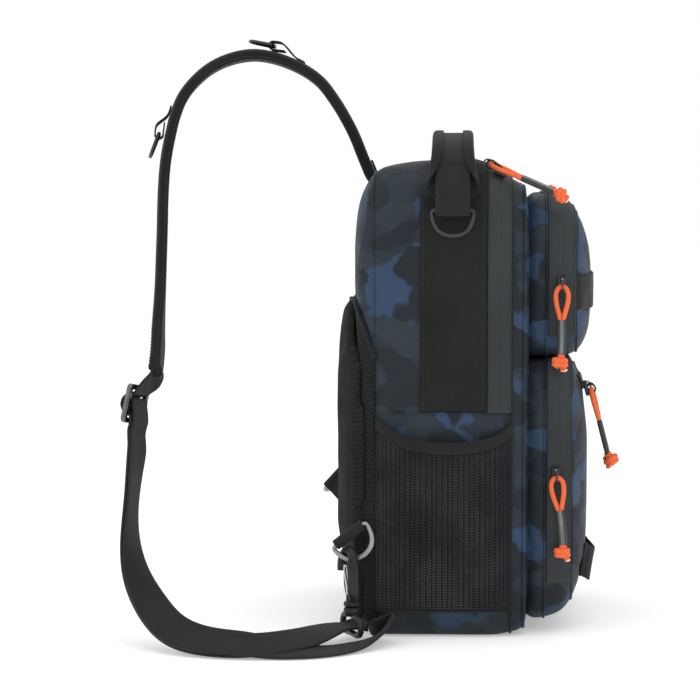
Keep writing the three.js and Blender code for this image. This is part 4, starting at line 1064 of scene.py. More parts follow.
def slider_body(back):
    """The slider's moulded body: a block, narrower at its mouth, with rounded edges."""
    bpy.ops.object.select_all(action="DESELECT")
    bpy.ops.mesh.primitive_cube_add(size=1)
    body = bpy.context.object
    width = ZIP_SLIDER.back_width if back else ZIP_SLIDER.width
    edit(body, (bpy.ops.transform.resize, {"value": mm(ZIP_SLIDER.length, width, ZIP_SLIDER.height)}))
    for vertex in body.data.vertices:
        mouth = vertex.co.x > 0
        if mouth:
            vertex.co.y *= ZIP_SLIDER.mouth
        if not back:
            vertex.co.x += SLIDER_SHIFT[mouth] * MM
    round_edges(body, ZIP_SLIDER.edge * MM, 3, 30)
    return body


def slider_bridge(back):
    """The bar on the slider that its tab hangs on, in light grey metal as a painted highlight on the dark
    slider.
    """
    shift = 0 if back else SLIDER_SHIFT[0]
    line = through([mm(x + shift, 0, z) for x, z in BRIDGE_LINE], 5)
    return tube("slider_bridge", line, BRIDGE_WIRE * MM, 10)


def slider_tab(back):
    """The slider's tab: a plate that widens round the cord's hole."""
    reach = TAB.back_reach if back else TAB.reach
    bpy.ops.object.select_all(action="DESELECT")
    circles = []
    for radius in (TAB.rim, TAB.hole):
        bpy.ops.mesh.primitive_circle_add(vertices=TAB.corners, radius=radius * MM)
        circles.append(bpy.context.object)
    tab = joined("slider_tab", circles)
    for vertex in tab.data.vertices:
        on_rim = vertex.co.length > (TAB.rim + TAB.hole) / 2 * MM
        behind = (-vertex.co.x / MM - TAB.neck) / TAB.run
        if on_rim and behind > 0:
            half = lerp(TAB.wide, TAB.narrow, min(1, 2 * behind)) * MM
            vertex.co.x = -(TAB.neck + behind * reach) * MM
            vertex.co.y = copysign(min(abs(vertex.co.y), half), vertex.co.y)
    edit(tab, (bpy.ops.mesh.bridge_edge_loops, {}))
    thicken(tab, TAB.thickness * MM)
    round_edges(tab, TAB.edge * MM)
    turn = Matrix.Translation(mm(HOLE_DOWN, 0, TAB_RISE)) @ Matrix.Rotation(pi / 2, 4, "X")
    return moved(tab, turn)


def cord_route(wide):
    """The cord's way from its end in the knot, up one strand, through the hole and down the other."""
    one = []
    for down, side in CORD_HALF:
        one.append(mm(HOLE_DOWN + down, min(side, max(STRAND_APART, side * wide)), TAB_RISE))
    other = [Vector((p.x, -p.y, p.z)) for p in one[:0:-1]]
    return through([*other, *one], 6)


def cord_radius(share):
    """Full in the loop and squeezed in the sleeve."""
    from_end = min(share, 1 - share)
    return sizes().cord / 2 * lerp(SQUEEZE, 1.0, smooth_step((from_end - SQUEEZE_FROM) / SQUEEZE_FADE))


def sleeve_shape():
    """A shrunk sleeve with a waist between its two strands, drawn in at its ends."""
    def place(u, v):
        angle = 2 * pi * u
        squeeze = 1 - SLEEVE.ends * abs(2 * v - 1) ** 6
        waist = 1 - SLEEVE.waist * (1 - abs(cos(angle))) ** 2
        y = SLEEVE.half * signed_power(cos(angle), SLEEVE.square) * squeeze
        z = SLEEVE.depth * signed_power(sin(angle), SLEEVE.square) * squeeze * waist
        bow = SLEEVE.bow * sin(pi * v)
        return mm(lerp(SLEEVE_START, SLEEVE_END, v), y + bow, TAB_RISE + z)

    obj = grid("sleeve", 32, 16, place, lambda u, v: (u, v))
    edit(obj, MERGE, FACE_OUT)
    thicken(obj, SLEEVE.wall * MM, -1.0)
    return obj


KNOT_GAP = 0.35
KNOT_HALF = 4.6
KNOT_MIDDLE = SLEEVE_END + KNOT_GAP + KNOT_HALF
# How the cord winds in the knot, how far the knot bulges to one side, how much wider than deep it is, and
# the radii of its coil, core and ends
KNOT = Measures(turns=1.75, steps=44, reach=3.1, pitch=2.9, wobble=0.12, lean=0.9, bulge=-1.2,
                wide=1.22, coil=2.1, core=2.8, end=1.55, tuck=1, foot=3)
# Which way the knot's two ends leave it, and how far they go down, to the side and up
KNOT_ENDS = ((1.0, 0.5), (0.35, -0.9))
KNOT_END_LINE = ((0.5, 1.0, 1.0), (3.2, 1.9, 1.6), (5.4, 3.1, 2.4))
TIP_FOOT = (5.1, 2.95, 2.3)
TIP_WAY = (2.2, 1.2, 0.8)
TIP_PROFILE = ((0.0, 1.2), (0.35, 1.62), (0.8, 1.5), (1.05, 0.9), (1.0, 0.3))
# How far each pull's knot is turned about the cord, in degrees
KNOT_TURNS = {"main_near": -35, "main_far": 35, "upper": 0, "lower": 14, "front": -75}


def by_knot(down, side=0.0, lift=0.0):
    return mm(KNOT_MIDDLE + down, side, TAB_RISE + lift)


def knot_coil():
    """The cord's way as it winds round itself."""
    coil = []
    for share in shares(KNOT.steps):
        angle = 2 * pi * KNOT.turns * share
        reach = KNOT.reach * (1 + KNOT.wobble * sin(3 * angle + 0.6))
        down = (share - 0.5) * KNOT.turns * KNOT.pitch + KNOT.lean * cos(angle)
        side = KNOT.bulge + KNOT.wide * reach * cos(angle)
        coil.append(by_knot(down, side, reach * sin(angle)))
    return coil


def knot_shape():
    """An overhand knot: the cord wound round itself, with two short ends."""
    core = [mm(SLEEVE_END - KNOT.tuck, 0, TAB_RISE), by_knot(0, KNOT.bulge / 2), by_knot(KNOT.foot)]
    pieces = [tube("coil", knot_coil(), KNOT.coil * MM), tube("core", through(core, 5), KNOT.core * MM)]
    for side, lift in KNOT_ENDS:
        end = [by_knot(down, wide * side, high * lift) for down, wide, high in KNOT_END_LINE]
        pieces.append(tube("end", through(end, 5), KNOT.end * MM))
    return joined("knot", pieces)


def knot_tips():
    """The melted cut faces of the cord's two ends."""
    tips = []
    for side, lift in KNOT_ENDS:
        foot = by_knot(TIP_FOOT[0], TIP_FOOT[1] * side, TIP_FOOT[2] * lift)
        way = unit(TIP_WAY[0], TIP_WAY[1] * side, TIP_WAY[2] * lift)
        tips.append(turned("tip", foot, way, TIP_PROFILE, 16))
    return joined("knot_tips", tips)


def knot_turn(degrees):
    """A turn about the pull's cord."""
    axis = Matrix.Translation(mm(0, 0, TAB_RISE))
    return axis @ Matrix.Rotation(radians(degrees), 4, "X") @ axis.inverted()


def hang(shape, place, name, material, nodes=(), **settings):
    return finish(named(moved(shape, place), name), material, nodes, **settings)


class SLING_OT_zip_pulls(bpy.types.Operator):
    """Make the zip sliders, their cords, sleeves and knots"""
    bl_idname = "sling.zip_pulls"
    bl_label = "Zip pulls"

    def execute(self, context):
        for name, at, out, down, twist, wide, back in PULLS:
            route = cord_route(wide)
            on_seat, on_turn = pull_places(at, out, down, twist)
            on_cord = on_turn @ CORD_BACK if back else on_turn
            tab = moved(slider_tab(back), on_turn @ TAB_BACK if back else on_turn)
            slider = joined(f"zip_slider_{name}", [moved(slider_body(back), on_seat), tab])
            finish(slider, "dark_metal", [f"slider_{name}"], smooth=40)
            # The bridge's light grey metal is a painted highlight on the dark slider
            hang(slider_bridge(back), on_seat, f"zip_slider_bridge_{name}", "grey_metal", slot="dark_metal")
            cord = tube("cord", route, cord_radius, 14)
            cord = hang(cord, on_cord, f"pull_cord_{name}", "orange_cord", [f"cord_{name}"])
            sleeve = hang(sleeve_shape(), on_cord, f"pull_sleeve_{name}", "sleeve", [f"sleeve_{name}"])
            on_knot = on_cord @ knot_turn(KNOT_TURNS[name])
            knot = hang(knot_shape(), on_knot, f"pull_knot_{name}", "orange_cord", [f"knot_{name}"])
            tips = hang(knot_tips(), on_knot, f"pull_knot_tips_{name}", "cord_end")
            path = [on_cord @ p for p in route]
            tuple(path[0])
            distances(path)[-1]
        return {"FINISHED"}


# Cloth shells

SHELLS = {}
BODY_AROUND = 200
POCKET_AROUND = 168
BODY_SPACING = 5.5 * MM
POCKET_SPACING = 4 * MM
SHELL_CLOTH = 2 * MM
# Where a shell is pushed along the bag's depth, in millimetres: the heights between which the push comes on,
# its top and how it fades there, the depths between which it comes on, and how far it goes
PUSHES = {
    "main_body": (215, 262, 338, 22, 15, 52, 2.9),
    "lower_pocket": (135, 176, 216, 20, -70, -100, 2.3),
}
# Where the main body's cloth is sewn: depths, heights and least distance to the side in millimetres, and how
# firmly. In order: the zip, the floor, the back pad, the back seam, the side panels and the mesh pockets
ANY = (-1000, 1000)
BODY_SEWN = (
    ((-1000, -28), ANY, -1, 1.0),
    (ANY, (-1000, 4), -1, 1.0),
    ((54, 1000), (-1000, 262), -1, 1.0),
    ((48.5, 53.5), ANY, -1, 1.0),
    ((-30, 19), (164, 322), 90, 0.96),
    ((-1000, 48), (-1000, 164), 90, 0.9),
)
# How firmly a pocket's cloth is sewn behind its rim's depth, under its zip, and at the zip's two seams
POCKET_RIM = -62.5
POCKET_FIRM = Measures(rim=1.0, zip=0.97, seam=0.99)
POCKET_SEAM = 2.2
PANEL_RIM = -56
# Pressure and growth of the cloth as a shell fills
FULL = (3.0, 0.02)
SLACK = (0.5, 0.0)


def push(obj, low, high, top, fade, start, full, reach):
    """Pushes the upper part of a shell outwards behind or inwards in front."""
    for vertex in obj.data.vertices:
        y, z = vertex.co.y / MM, vertex.co.z / MM
        up = smooth_step((z - low) / (high - low)) * smooth_step((top - z) / fade)
        vertex.co.y += reach * MM * up * smooth_step((y - start) / (full - start))


def make_shell(name, node, towards, around, spacing, weight_of, pressure, growth):
    rows = shell_rows(node, towards, around, spacing)
    skin = Skin(rows)
    obj = shell_mesh(name, rows)
    swell(obj, weight_of, pressure, growth, sizes().swell)
    if node in PUSHES:
        push(obj, *PUSHES[node])
    read_back(obj, skin)
    subdivide(obj, 1)
    thicken(obj, SHELL_CLOTH, -1.0)
    finish(obj, "camo_cloth", [node])
    SHELLS[node] = skin


def read_back(obj, skin):
    """Moves a skin's rows to where the cloth went."""
    points = [v.co.copy() for v in obj.data.vertices]
    skin.tree = BVHTree.FromPolygons(points, [tuple(p.vertices) for p in obj.data.polygons])
    skin.rows = [[skin.tree.find_nearest(p)[0] for p in row] for row in skin.rows]


def body_weight(co):
    """How firmly the main body's cloth is sewn at a place: as in the firmest zone that holds it."""
    x, y, z = abs(co.x) / MM, co.y / MM, co.z / MM
    firm = [0.0]
    for (front, back), (low, high), side, share in BODY_SEWN:
        if front < y < back and low < z < high and x > side:
            firm.append(share)
    return max(firm)


def pocket_weight(zip_back, zip_front):
    def weight_of(co):
        y = co.y / MM
        if y > POCKET_RIM:
            return POCKET_FIRM.rim
        if zip_front < y < zip_back:
            return POCKET_FIRM.zip
        if min(abs(y - zip_front), abs(y - zip_back)) < POCKET_SEAM:
            return POCKET_FIRM.seam
        return 0.0

    return weight_of


def panel_weight(co):
    """How firmly the front panel's cloth is sewn: at its rim only."""
    return 1.0 if co.y > PANEL_RIM * MM else 0.0


class SLING_OT_shells(bpy.types.Operator):
    """Make the cloth of the main body, the front panel and the two pockets"""
    bl_idname = "sling.shells"
    bl_label = "Cloth shells"

    def execute(self, context):
        make_shell("body_cloth", "main_body", 1, BODY_AROUND, BODY_SPACING, body_weight, *FULL)
        make_shell("front_panel_cloth", "main_front_panel", -1, BODY_AROUND, POCKET_SPACING,
                   panel_weight, *SLACK)
        for _, node, back, front, _ in ZIPS[1:]:
            make_shell(f"{node}_cloth", node, -1, POCKET_AROUND, POCKET_SPACING,
                       pocket_weight(back, front), *FULL)
        return {"FINISHED"}


# Seams, zip bands and side panels on the shells

# Shell, depth in millimetres, share of the piping's radius, the foot at which a seam ends, and its cloth
SEAMS = (
    ("main_body", 51.0, 0.6, None, "camo_cloth"),
    ("main_body", -29.6, 0.75, 164, "black_cloth"),
    ("main_body", -47.8, 0.9, None, "black_cloth"),
    ("main_front_panel", -57.2, 0.9, None, "camo_cloth"),
    ("upper_pocket", -73.4, 0.8, None, "camo_cloth"),
    ("upper_pocket", -95.4, 0.8, None, "camo_cloth"),
    ("lower_pocket", -72.6, 0.8, None, "camo_cloth"),
    ("lower_pocket", -92.6, 0.8, None, "camo_cloth"),
)
SEAM_STEPS = 220
SEAM_RISE = 0.25 * MM
# Zip band, its shell, the depths of its two edges and the height of its feet, in millimetres
ZIPS = (
    ("main_zip", "main_body", -30.5, -47.3, 164),
    ("upper_zip", "upper_pocket", -74.7, -94, 218),
    ("lower_zip", "lower_pocket", -74, -91.5, 38),
)
ZIP_ROWS = 120
ZIP_SHARES = (0.0, 0.03, 0.2, 0.4, 0.486, 0.497, 0.503, 0.514, 0.6, 0.8, 0.97, 1.0)
ZIP_SLIT = Measures(depth=0.15 * MM, half=0.005)
ZIP_STITCHES = (0.07, 0.93)
ZIP_STITCH_FOOT = 2
ZIP_RISE = 0.45 * MM
ZIP_EDGE = 0.3


def seam_line(skin, y, foot, rise):
    """Points round a shell at a depth, all the way or over the top from a foot on each side."""
    down = skin.down(y * MM)
    start = skin.around_at(down, foot * MM) if foot else 0.0
    steps = range(SEAM_STEPS + 1 if foot else SEAM_STEPS)
    return [skin.on(lerp(start, 1 - start, k / SEAM_STEPS), down, rise) for k in steps]


class SLING_OT_seams(bpy.types.Operator):
    """Lay piping along the shells' seams"""
    bl_idname = "sling.seams"
    bl_label = "Seams"

    def execute(self, context):
        for i, (node, y, share, foot, cloth) in enumerate(SEAMS):
            radius = sizes().piping * share
            line = seam_line(SHELLS[node], y, foot, SEAM_RISE)
            line = [Vector((p.x, p.y, max(p.z, radius))) for p in line]
            finish(tube(f"piping_{i + 1}", line, radius, 8, closed=foot is None), cloth)
        return {"FINISHED"}


def zip_band(name, node, back, front, foot):
    """A coated zip band over the top of a shell: two tapes that meet at a fine slit."""
    skin = SHELLS[node]
    tape = sizes().zip_tape
    downs = [skin.down(lerp(back, front, share) * MM) for share in ZIP_SHARES]
    feet = [skin.around_at(down, foot * MM) for down in downs]
    last = len(ZIP_SHARES) - 1

    def place(u, v):
        i = round(u * last)
        slit = ZIP_SLIT.depth if abs(ZIP_SHARES[i] - 0.5) < ZIP_SLIT.half else 0.0
        around = lerp(feet[i], 1 - feet[i], v)
        return skin.on(around, downs[i], ZIP_RISE + tape - slit)

    obj = grid(name, last, ZIP_ROWS, place)
    edit(obj, FACE_OUT)
    return backed(obj, tape, tape * ZIP_EDGE)


def band_stitches(name, skin, y, foot):
    """A line of stitches along a zip band at a depth, over the top of the bag."""
    down = skin.down(y * MM)
    start = skin.around_at(down, (foot + ZIP_STITCH_FOOT) * MM)
    arounds = [lerp(start, 1 - start, share) for share in shares(SEAM_STEPS)]
    points = [skin.on(around, down, ZIP_RISE + sizes().zip_tape) for around in arounds]
    return stitch_line(name, points, [skin.normal(around, down) for around in arounds])


BAG_MIDDLE = mm(0, -20, 160)


def point_out(obj):
    """Turns an open sheet's faces so that they look away from the bag's middle."""
    total = sum((Vector(p.center) - BAG_MIDDLE).dot(p.normal) for p in obj.data.polygons)
    if total < 0:
        edit(obj, FLIP)


def backed(obj, thickness, edge=0.0):
    """Gives an open sheet on the bag its thickness, inwards from its outer face, and rounds its edges."""
    point_out(obj)
    thicken(obj, thickness, -1.0)
    if edge:
        round_edges(obj, edge)
    return obj


class SLING_OT_zip_bands(bpy.types.Operator):
    """Lay the coated zip bands over the shells"""
    bl_idname = "sling.zip_bands"
    bl_label = "Zip bands"

    def execute(self, context):
        for node, shell, back, front, foot in ZIPS:
            band = zip_band(f"{node}_band", shell, back, front, foot)
            finish(band, "zip_tape", [node], smooth=40)
            for i, share in enumerate(ZIP_STITCHES):
                y = lerp(back, front, share)
                line = band_stitches(f"{node}_stitches_{i + 1}", SHELLS[shell], y, foot)
                finish(line, "thread")
        return {"FINISHED"}


# The side panels and the strip over the top: their edges, how far they stand off, and their stitches' place
PANEL = {"back": 18, "front": -29.2, "low": 165, "high": 319, "rise": 0.4, "inset": 2.2, "ends": 2}
GUSSET = Measures(back=-3, front=-29.2, low=317, rise=0.3, columns=8)
SIDE_SEAM = Measures(back=49, front=-46, under=1.2, rise=0.5, radius=0.75)
PANEL_EDGE = 0.35


def top_gusset(skin, cloth):
    """The strip that joins the two side panels over the top of the bag, under the handle."""
    columns = GUSSET.columns
    downs = [skin.down(lerp(GUSSET.back, GUSSET.front, share) * MM) for share in shares(columns)]
    feet = [skin.around_at(down, GUSSET.low * MM) for down in downs]

    def place(u, v):
        i = round(u * columns)
        return skin.on(lerp(feet[i], 1 - feet[i], v), downs[i], GUSSET.rise * MM + cloth)

    return backed(grid("top_gusset_cloth", columns, 80, place), cloth, cloth * PANEL_EDGE)


def side_panel(name, skin, sign, cloth):
    def place(u, v):
        y = lerp(PANEL["back"], PANEL["front"], u) * MM
        z = lerp(PANEL["low"], PANEL["high"], v) * MM
        return skin.side(sign, y, z, PANEL["rise"] * MM + cloth)

    return backed(grid(name, 20, 60, place), cloth, cloth * PANEL_EDGE)


def side_seam(name, skin, sign):
    """The seam under a side panel, across the bag's depth."""
    z = (PANEL["low"] - SIDE_SEAM.under) * MM
    depths = [lerp(SIDE_SEAM.back, SIDE_SEAM.front, share) for share in shares(60)]
    line = [skin.side(sign, y * MM, z, SIDE_SEAM.rise * MM) for y in depths]
    return tube(name, line, SIDE_SEAM.radius * MM, 8)


def panel_stitches(name, skin, sign, cloth, edge):
    """Stitches inside one upright edge of a side panel."""
    y = PANEL[edge] + copysign(PANEL["inset"], -PANEL[edge])
    low, high = PANEL["low"] + PANEL["ends"], PANEL["high"] - PANEL["ends"]
    rise = PANEL["rise"] * MM + cloth
    line = [skin.side(sign, y * MM, lerp(low, high, share) * MM, rise) for share in shares(80)]
    return stitch_line(name, line, [Vector((sign, 0, 0))])


class SLING_OT_side_panels(bpy.types.Operator):
    """Lay the black panel on each side, with the seam under it"""
    bl_idname = "sling.side_panels"
    bl_label = "Side panels"

    def execute(self, context):
        skin = SHELLS["main_body"]
        cloth = sizes().panel_cloth
        finish(top_gusset(skin, cloth), "black_cloth")
        for side, sign in SIDES:
            panel = side_panel(f"side_panel_cloth_{side}", skin, sign, cloth)
            finish(panel, "black_cloth", [f"side_panel_{side}"])
            finish(side_seam(f"side_seam_{side}", skin, sign), "camo_cloth")
            for edge in ("back", "front"):
                stitches = panel_stitches(f"side_panel_stitches_{side}_{edge}", skin, sign, cloth, edge)
                finish(stitches, "thread")
        return {"FINISHED"}


# Mesh pockets

POCKET = Measures(back=49.6, front=-47.4, floor=20, rise=0.9, bulge=9, ripple=1.1)
# Depths and heights along the pocket's mouth, from the back to the front
MOUTH = ((49.6, 160.8), (32, 148.8), (10, 144.3), (-12, 143.8), (-36, 148.2), (-47.4, 156))
MOUTH_STEPS = 100
# Waves across and up a pocket, where each starts, and its share
RIPPLES = ((13, 5.2, 2.0, 1.0), (23, -9, 0.0, 0.6))
NET_WAVES = ((12, 5, 0.0, 1.0), (23, -11, 0.0, 0.6))
# The net's height, how much closer its upright threads and further apart its level ones are than the pitch,
# the share of the height that it covers, and the waves of its threads
NET = Measures(tall=126, closer=1.2, further=1.3, top=0.965, wave=0.013)
BINDING = Measures(height=8, rise=0.8, bead=0.5, thickness=2, edge=0.5, run=110)
# The pocket's seams: the shares across and up at which they start and end, their steps, rise and radius
POCKET_SEAMS = {
    "pocket_floor_seam_{}": ((0, 0), (1, 0), 80, 0.2, 1.1),
    "pocket_side_seam_{}_1": ((0, 0), (0, 1), 60, 0.1, 0.8),
    "pocket_side_seam_{}_2": ((1, 0), (1, 1), 60, 0.1, 0.8),
}


def mouth_line():
    return spaced(through([Vector((y, z, 0)) for y, z in MOUTH], 12), MOUTH_STEPS + 1)


def pocket_bulge(across, up):
    wide = sin(pi * across) ** 0.8
    high = lerp(0.25, 1.0, sqrt(up)) * min(1.0, up / 0.2)
    return POCKET.bulge * wide * high


def waves(table, across, up):
    return sum(share * sin(wide * across + high * up + start) for wide, high, start, share in table)


def pocket_ripple(across, up):
    """Slack ripples that run down from the mouth and fade towards the sewn edges."""
    fade = sin(pi * across) * smooth_step(up / 0.25)
    fade *= 1 - 0.6 * smooth_step((up - 0.75) / 0.25)
    return POCKET.ripple * fade * waves(RIPPLES, across, up)


def pocket_point(sign, mouth, across, up, rise):
    spot = mouth[round(across * MOUTH_STEPS)]
    z = lerp(POCKET.floor, spot.y, up)
    off = POCKET.rise + pocket_bulge(across, up) + pocket_ripple(across, up) + rise
    base = SHELLS["main_body"].side(sign, spot.x * MM, z * MM, 0.0)
    return base + Vector((sign, 0, 0)) * off * MM


def net_sheet(name, sign, mouth):
    """The pocket's net: a real grid of threads, from the floor seam to under the binding."""
    pitch = sizes().net_pitch
    columns = round((POCKET.back - POCKET.front) * MM / pitch * NET.closer)
    rows = round(NET.tall * MM / pitch / NET.further)

    def place(u, v):
        slack = sin(pi * u) * sin(pi * v)
        up = v * NET.top + NET.wave * slack * waves(NET_WAVES, u, v)
        return pocket_point(sign, mouth, u, up, 0.0)

    obj = grid(name, columns, rows, place)
    point_out(obj)
    apply_modifier(obj, "WIREFRAME", thickness=sizes().net_thread, use_even_offset=False,
                   use_boundary=True, use_replace=True)
    return obj


def binding_strip(name, sign, mouth):
    """The elastic binding that edges the pocket's mouth."""
    def place(u, v):
        spot = mouth[round(v * MOUTH_STEPS)]
        share = 1 - (1 - u) * BINDING.height / (spot.y - POCKET.floor)
        bead = BINDING.bead * sin(pi * u)
        return pocket_point(sign, mouth, v, share, BINDING.rise + bead)

    def measure(u, v):
        return u * BINDING.height * MM, v * BINDING.run * MM

    obj = grid(name, 6, MOUTH_STEPS, place, measure)
    point_out(obj)
    thicken(obj, BINDING.thickness * MM)
    round_edges(obj, BINDING.edge * MM)
    return obj


LINING = Measures(back=49.2, front=-47, low=19, under_mouth=4, rise=0.15, cloth=0.6)


def pocket_lining(name, sign, mouth):
    """Dark cloth on the bag's side behind the net, down to the pocket's floor."""
    skin = SHELLS["main_body"]
    rise = (LINING.rise + LINING.cloth) * MM

    def place(u, v):
        spot = mouth[round(u * MOUTH_STEPS)]
        y = min(LINING.back, max(LINING.front, spot.x))
        z = lerp(LINING.low, spot.y - LINING.under_mouth, v)
        return skin.side(sign, y * MM, z * MM, rise)

    return backed(grid(name, 50, 50, place), LINING.cloth * MM)


def pocket_seam(name, sign, mouth, first, last, steps, rise, radius):
    ways = [(lerp(first[0], last[0], share), lerp(first[1], last[1], share)) for share in shares(steps)]
    line = [pocket_point(sign, mouth, across, up, rise) for across, up in ways]
    return tube(name, line, radius * MM, 8)


class SLING_OT_mesh_pockets(bpy.types.Operator):
    """Make the net pockets on both sides, with their bindings and floor seams"""
    bl_idname = "sling.mesh_pockets"
    bl_label = "Mesh pockets"

    def execute(self, context):
        mouth = mouth_line()
        for side, sign in SIDES:
            finish(pocket_lining(f"pocket_lining_{side}", sign, mouth), "black_cloth")
            finish(net_sheet(f"pocket_net_{side}", sign, mouth), "net", [f"mesh_pocket_{side}"])
            edge = binding_strip(f"pocket_edge_{side}", sign, mouth)
            finish(edge, "binding", [f"pocket_binding_{side}"])
            for name, way in POCKET_SEAMS.items():
                finish(pocket_seam(name.format(side), sign, mouth, *way), "black_cloth")
        return {"FINISHED"}


# Back pad

# The pad's side wings on the body: depths of their edges, their rising foot, and the sloping top edge
WING = Measures(front=50.2, back=62.2, low=5, foot=12, corner=203, slope=3.3, rise=0.3,
                cloth=1.8, edge=0.4)
# The bound top edge beyond the wing, and the binding on it, in millimetres
PAD_RIM = ((80, 66, 243), (70, 69, 244), (56, 69.5, 242), (28, 69, 240), (0, 69, 240))
PAD_BINDING = Measures(rise=1.9, radius=1.5, steps=8)
# The pad's top is pressed down, and its foot is drawn in towards the bag
PAD_TOP = Measures(start=222 * MM, share=0.3)
PAD_FOOT = Measures(top=82 * MM, fade=34 * MM, seam=64 * MM, depth=8 * MM, draw=4.2 * MM)
PAD_VOXEL = 4.2 * MM
PAD_SEWN = 68 * MM
PAD_FULL = (3.5, 0.01)


def wing_top(y):
    return WING.corner + (y - WING.front) * WING.slope


def pad_wing(name, sign):
    """Spacer mesh that wraps from the pad over the bag's back edge to its side seam."""
    skin = SHELLS["main_body"]

    def place(u, v):
        y = lerp(WING.front, WING.back, u)
        low = WING.low + WING.foot * u * u
        return skin.side(sign, y * MM, lerp(low, wing_top(y), v) * MM, (WING.rise + WING.cloth) * MM)

    return backed(grid(name, 10, 90, place), WING.cloth * MM, WING.edge * MM)


def pad_rim():
    """The binding along the pad's top: up the near wing's slope, across the back and down the far wing."""
    skin = SHELLS["main_body"]
    near = []
    for share in shares(PAD_BINDING.steps):
        y = lerp(WING.front, WING.back, share)
        near.append(skin.side(-1, y * MM, wing_top(y) * MM, PAD_BINDING.rise * MM))
    near += [mm(-x, y, z) for x, y, z in PAD_RIM]
    far = [Vector((-p.x, p.y, p.z)) for p in near[-2::-1]]
    return tube("back_pad_rim", through([*near, *far], 4), PAD_BINDING.radius * MM, 10)


def press_pad(pad):
    """Draws the pad's foot in towards the bag and presses its top down."""
    for vertex in pad.data.vertices:
        low = smooth_step((PAD_FOOT.top - vertex.co.z) / PAD_FOOT.fade)
        behind = smooth_step((vertex.co.y - PAD_FOOT.seam) / PAD_FOOT.depth)
        vertex.co.y -= PAD_FOOT.draw * low * behind
        vertex.co.z -= max(0.0, vertex.co.z - PAD_TOP.start) * PAD_TOP.share


class SLING_OT_back_pad(bpy.types.Operator):
    """Make the spacer-mesh pad on the wearer's side"""
    bl_idname = "sling.back_pad"
    bl_label = "Back pad"

    def execute(self, context):
        pad = copy_of("back_pad", "back_pad_cloth")
        apply_modifier(pad, "REMESH", mode="VOXEL", voxel_size=PAD_VOXEL)
        swell(pad, lambda co: 1.0 if co.y < PAD_SEWN else 0.0, *PAD_FULL, sizes().pad_swell)
        subdivide(pad, 1)
        press_pad(pad)
        finish(pad, "spacer_mesh", ["back_pad"])
        for side, sign in SIDES:
            finish(pad_wing(f"back_pad_wing_{side}", sign), "spacer_mesh")
        finish(pad_rim(), "binding")
        return {"FINISHED"}


# Webbing and zip on the pockets' fronts

# Strips on the pockets' fronts: name, shell, half length, lower and upper edge, columns, cloth and node
FRONT_STRIPS = (
    ("front_webbing", "upper_pocket", 88.5, 237, 262, 84, "webbing", "upper_webbing"),
    ("front_zip_band", "lower_pocket", 62, 177, 188, 50, "zip_tape", "front_zip"),
)
STRIP_RISE = 0.5
FRONT_EDGE = 0.3
# A lash loop lies across the pocket's front: its sewn ends, its edges, and how its bow stands off and droops
LASH = {"outer": 66, "inner": 31, "sewn": 0.16, "low": 38.5, "high": 62.5, "rows": 48, "rise": 0.6}
LASH_BOW = {"off_low": 8.1, "off_high": 6.0, "droop_low": 4.2, "droop_high": 6.6, "flat": 0.7}
LASH_STANDS = {"near": 1.0, "far": 0.25}


def lash_rows(sign, stand):
    """Webbing sewn down at both ends that bows off the pocket between them, and droops there."""
    skin = SHELLS["lower_pocket"]
    rows = []
    for share in shares(LASH["rows"]):
        x = lerp(LASH["outer"], LASH["inner"], share)
        reach = (share - LASH["sewn"]) / (1 - 2 * LASH["sewn"])
        bow = stand * max(0.0, sin(pi * min(1.0, max(0.0, reach)))) ** LASH_BOW["flat"]
        edges = []
        for end in ("low", "high"):
            z = LASH[end] - LASH_BOW[f"droop_{end}"] * bow
            rise = sizes().webbing * LASH["rise"] + LASH_BOW[f"off_{end}"] * bow * MM
            edges.append(skin.front(sign * x * MM, z * MM, rise))
        rows.append((middle(edges), (edges[1] - edges[0]).normalized()))
    return rows


def front_strip(name, shell, half, low, high, columns, thickness):
    """A strip across a pocket's front."""
    skin = SHELLS[shell]

    def place(u, v):
        x, z = lerp(-half, half, u) * MM, lerp(low, high, v) * MM
        return skin.front(x, z, STRIP_RISE * MM + thickness)

    def measure(u, v):
        return (v - 0.5) * (high - low) * MM, u * 2 * half * MM

    return backed(grid(name, columns, 8, place, measure), thickness, thickness * FRONT_EDGE)


class SLING_OT_front_trim(bpy.types.Operator):
    """Make the webbing strip, the small zip and the lash loops on the pockets' fronts"""
    bl_idname = "sling.front_trim"
    bl_label = "Front trim"

    def execute(self, context):
        for *shape, cloth, node in FRONT_STRIPS:
            finish(front_strip(*shape, getattr(sizes(), cloth)), cloth, [node])
        for side, sign in SIDES:
            loop = ribbon(f"lash_loop_webbing_{side}", lash_rows(sign, LASH_STANDS[side]))
            finish(loop, "webbing", [f"lash_loop_{side}"])
        return {"FINISHED"}


# Handle

# Half of the handle's arch in millimetres: place across the bag, height, half width, and curl of its lips
HANDLE_ARCH = (
    (-114.8, 305, 11.5, 0.02), (-115.4, 314, 12, 0.02), (-115.6, 321, 15, 0.1), (-115.2, 326, 18.3, 0.35),
    (-113, 333, 16.8, 0.75), (-102, 348, 14.6, 1.0), (-82, 357, 14.2, 1.0), (-48, 361, 14.2, 1.0),
    (0, 362, 14.2, 1.0),
)
HANDLE_Y = -5.2
HANDLE_CENTRE = mm(0, HANDLE_Y, 250)
GRIP = Measures(cloth=1.6, edge=0.5, steps=8, least_curl=0.02)
LIP = Measures(radius=2.3, flange=4.6)
# Heights of the tacks through each end of the handle's webbing, and the stitches' place from its middle
HANDLE_TACKS = (342.6, 320, 314)
HANDLE_STITCH = 10.4 * MM
TACK_WIDTH = 0.86
# How much the side counts beside the height where a tack's place is looked for
TACK_SIDE = 0.02


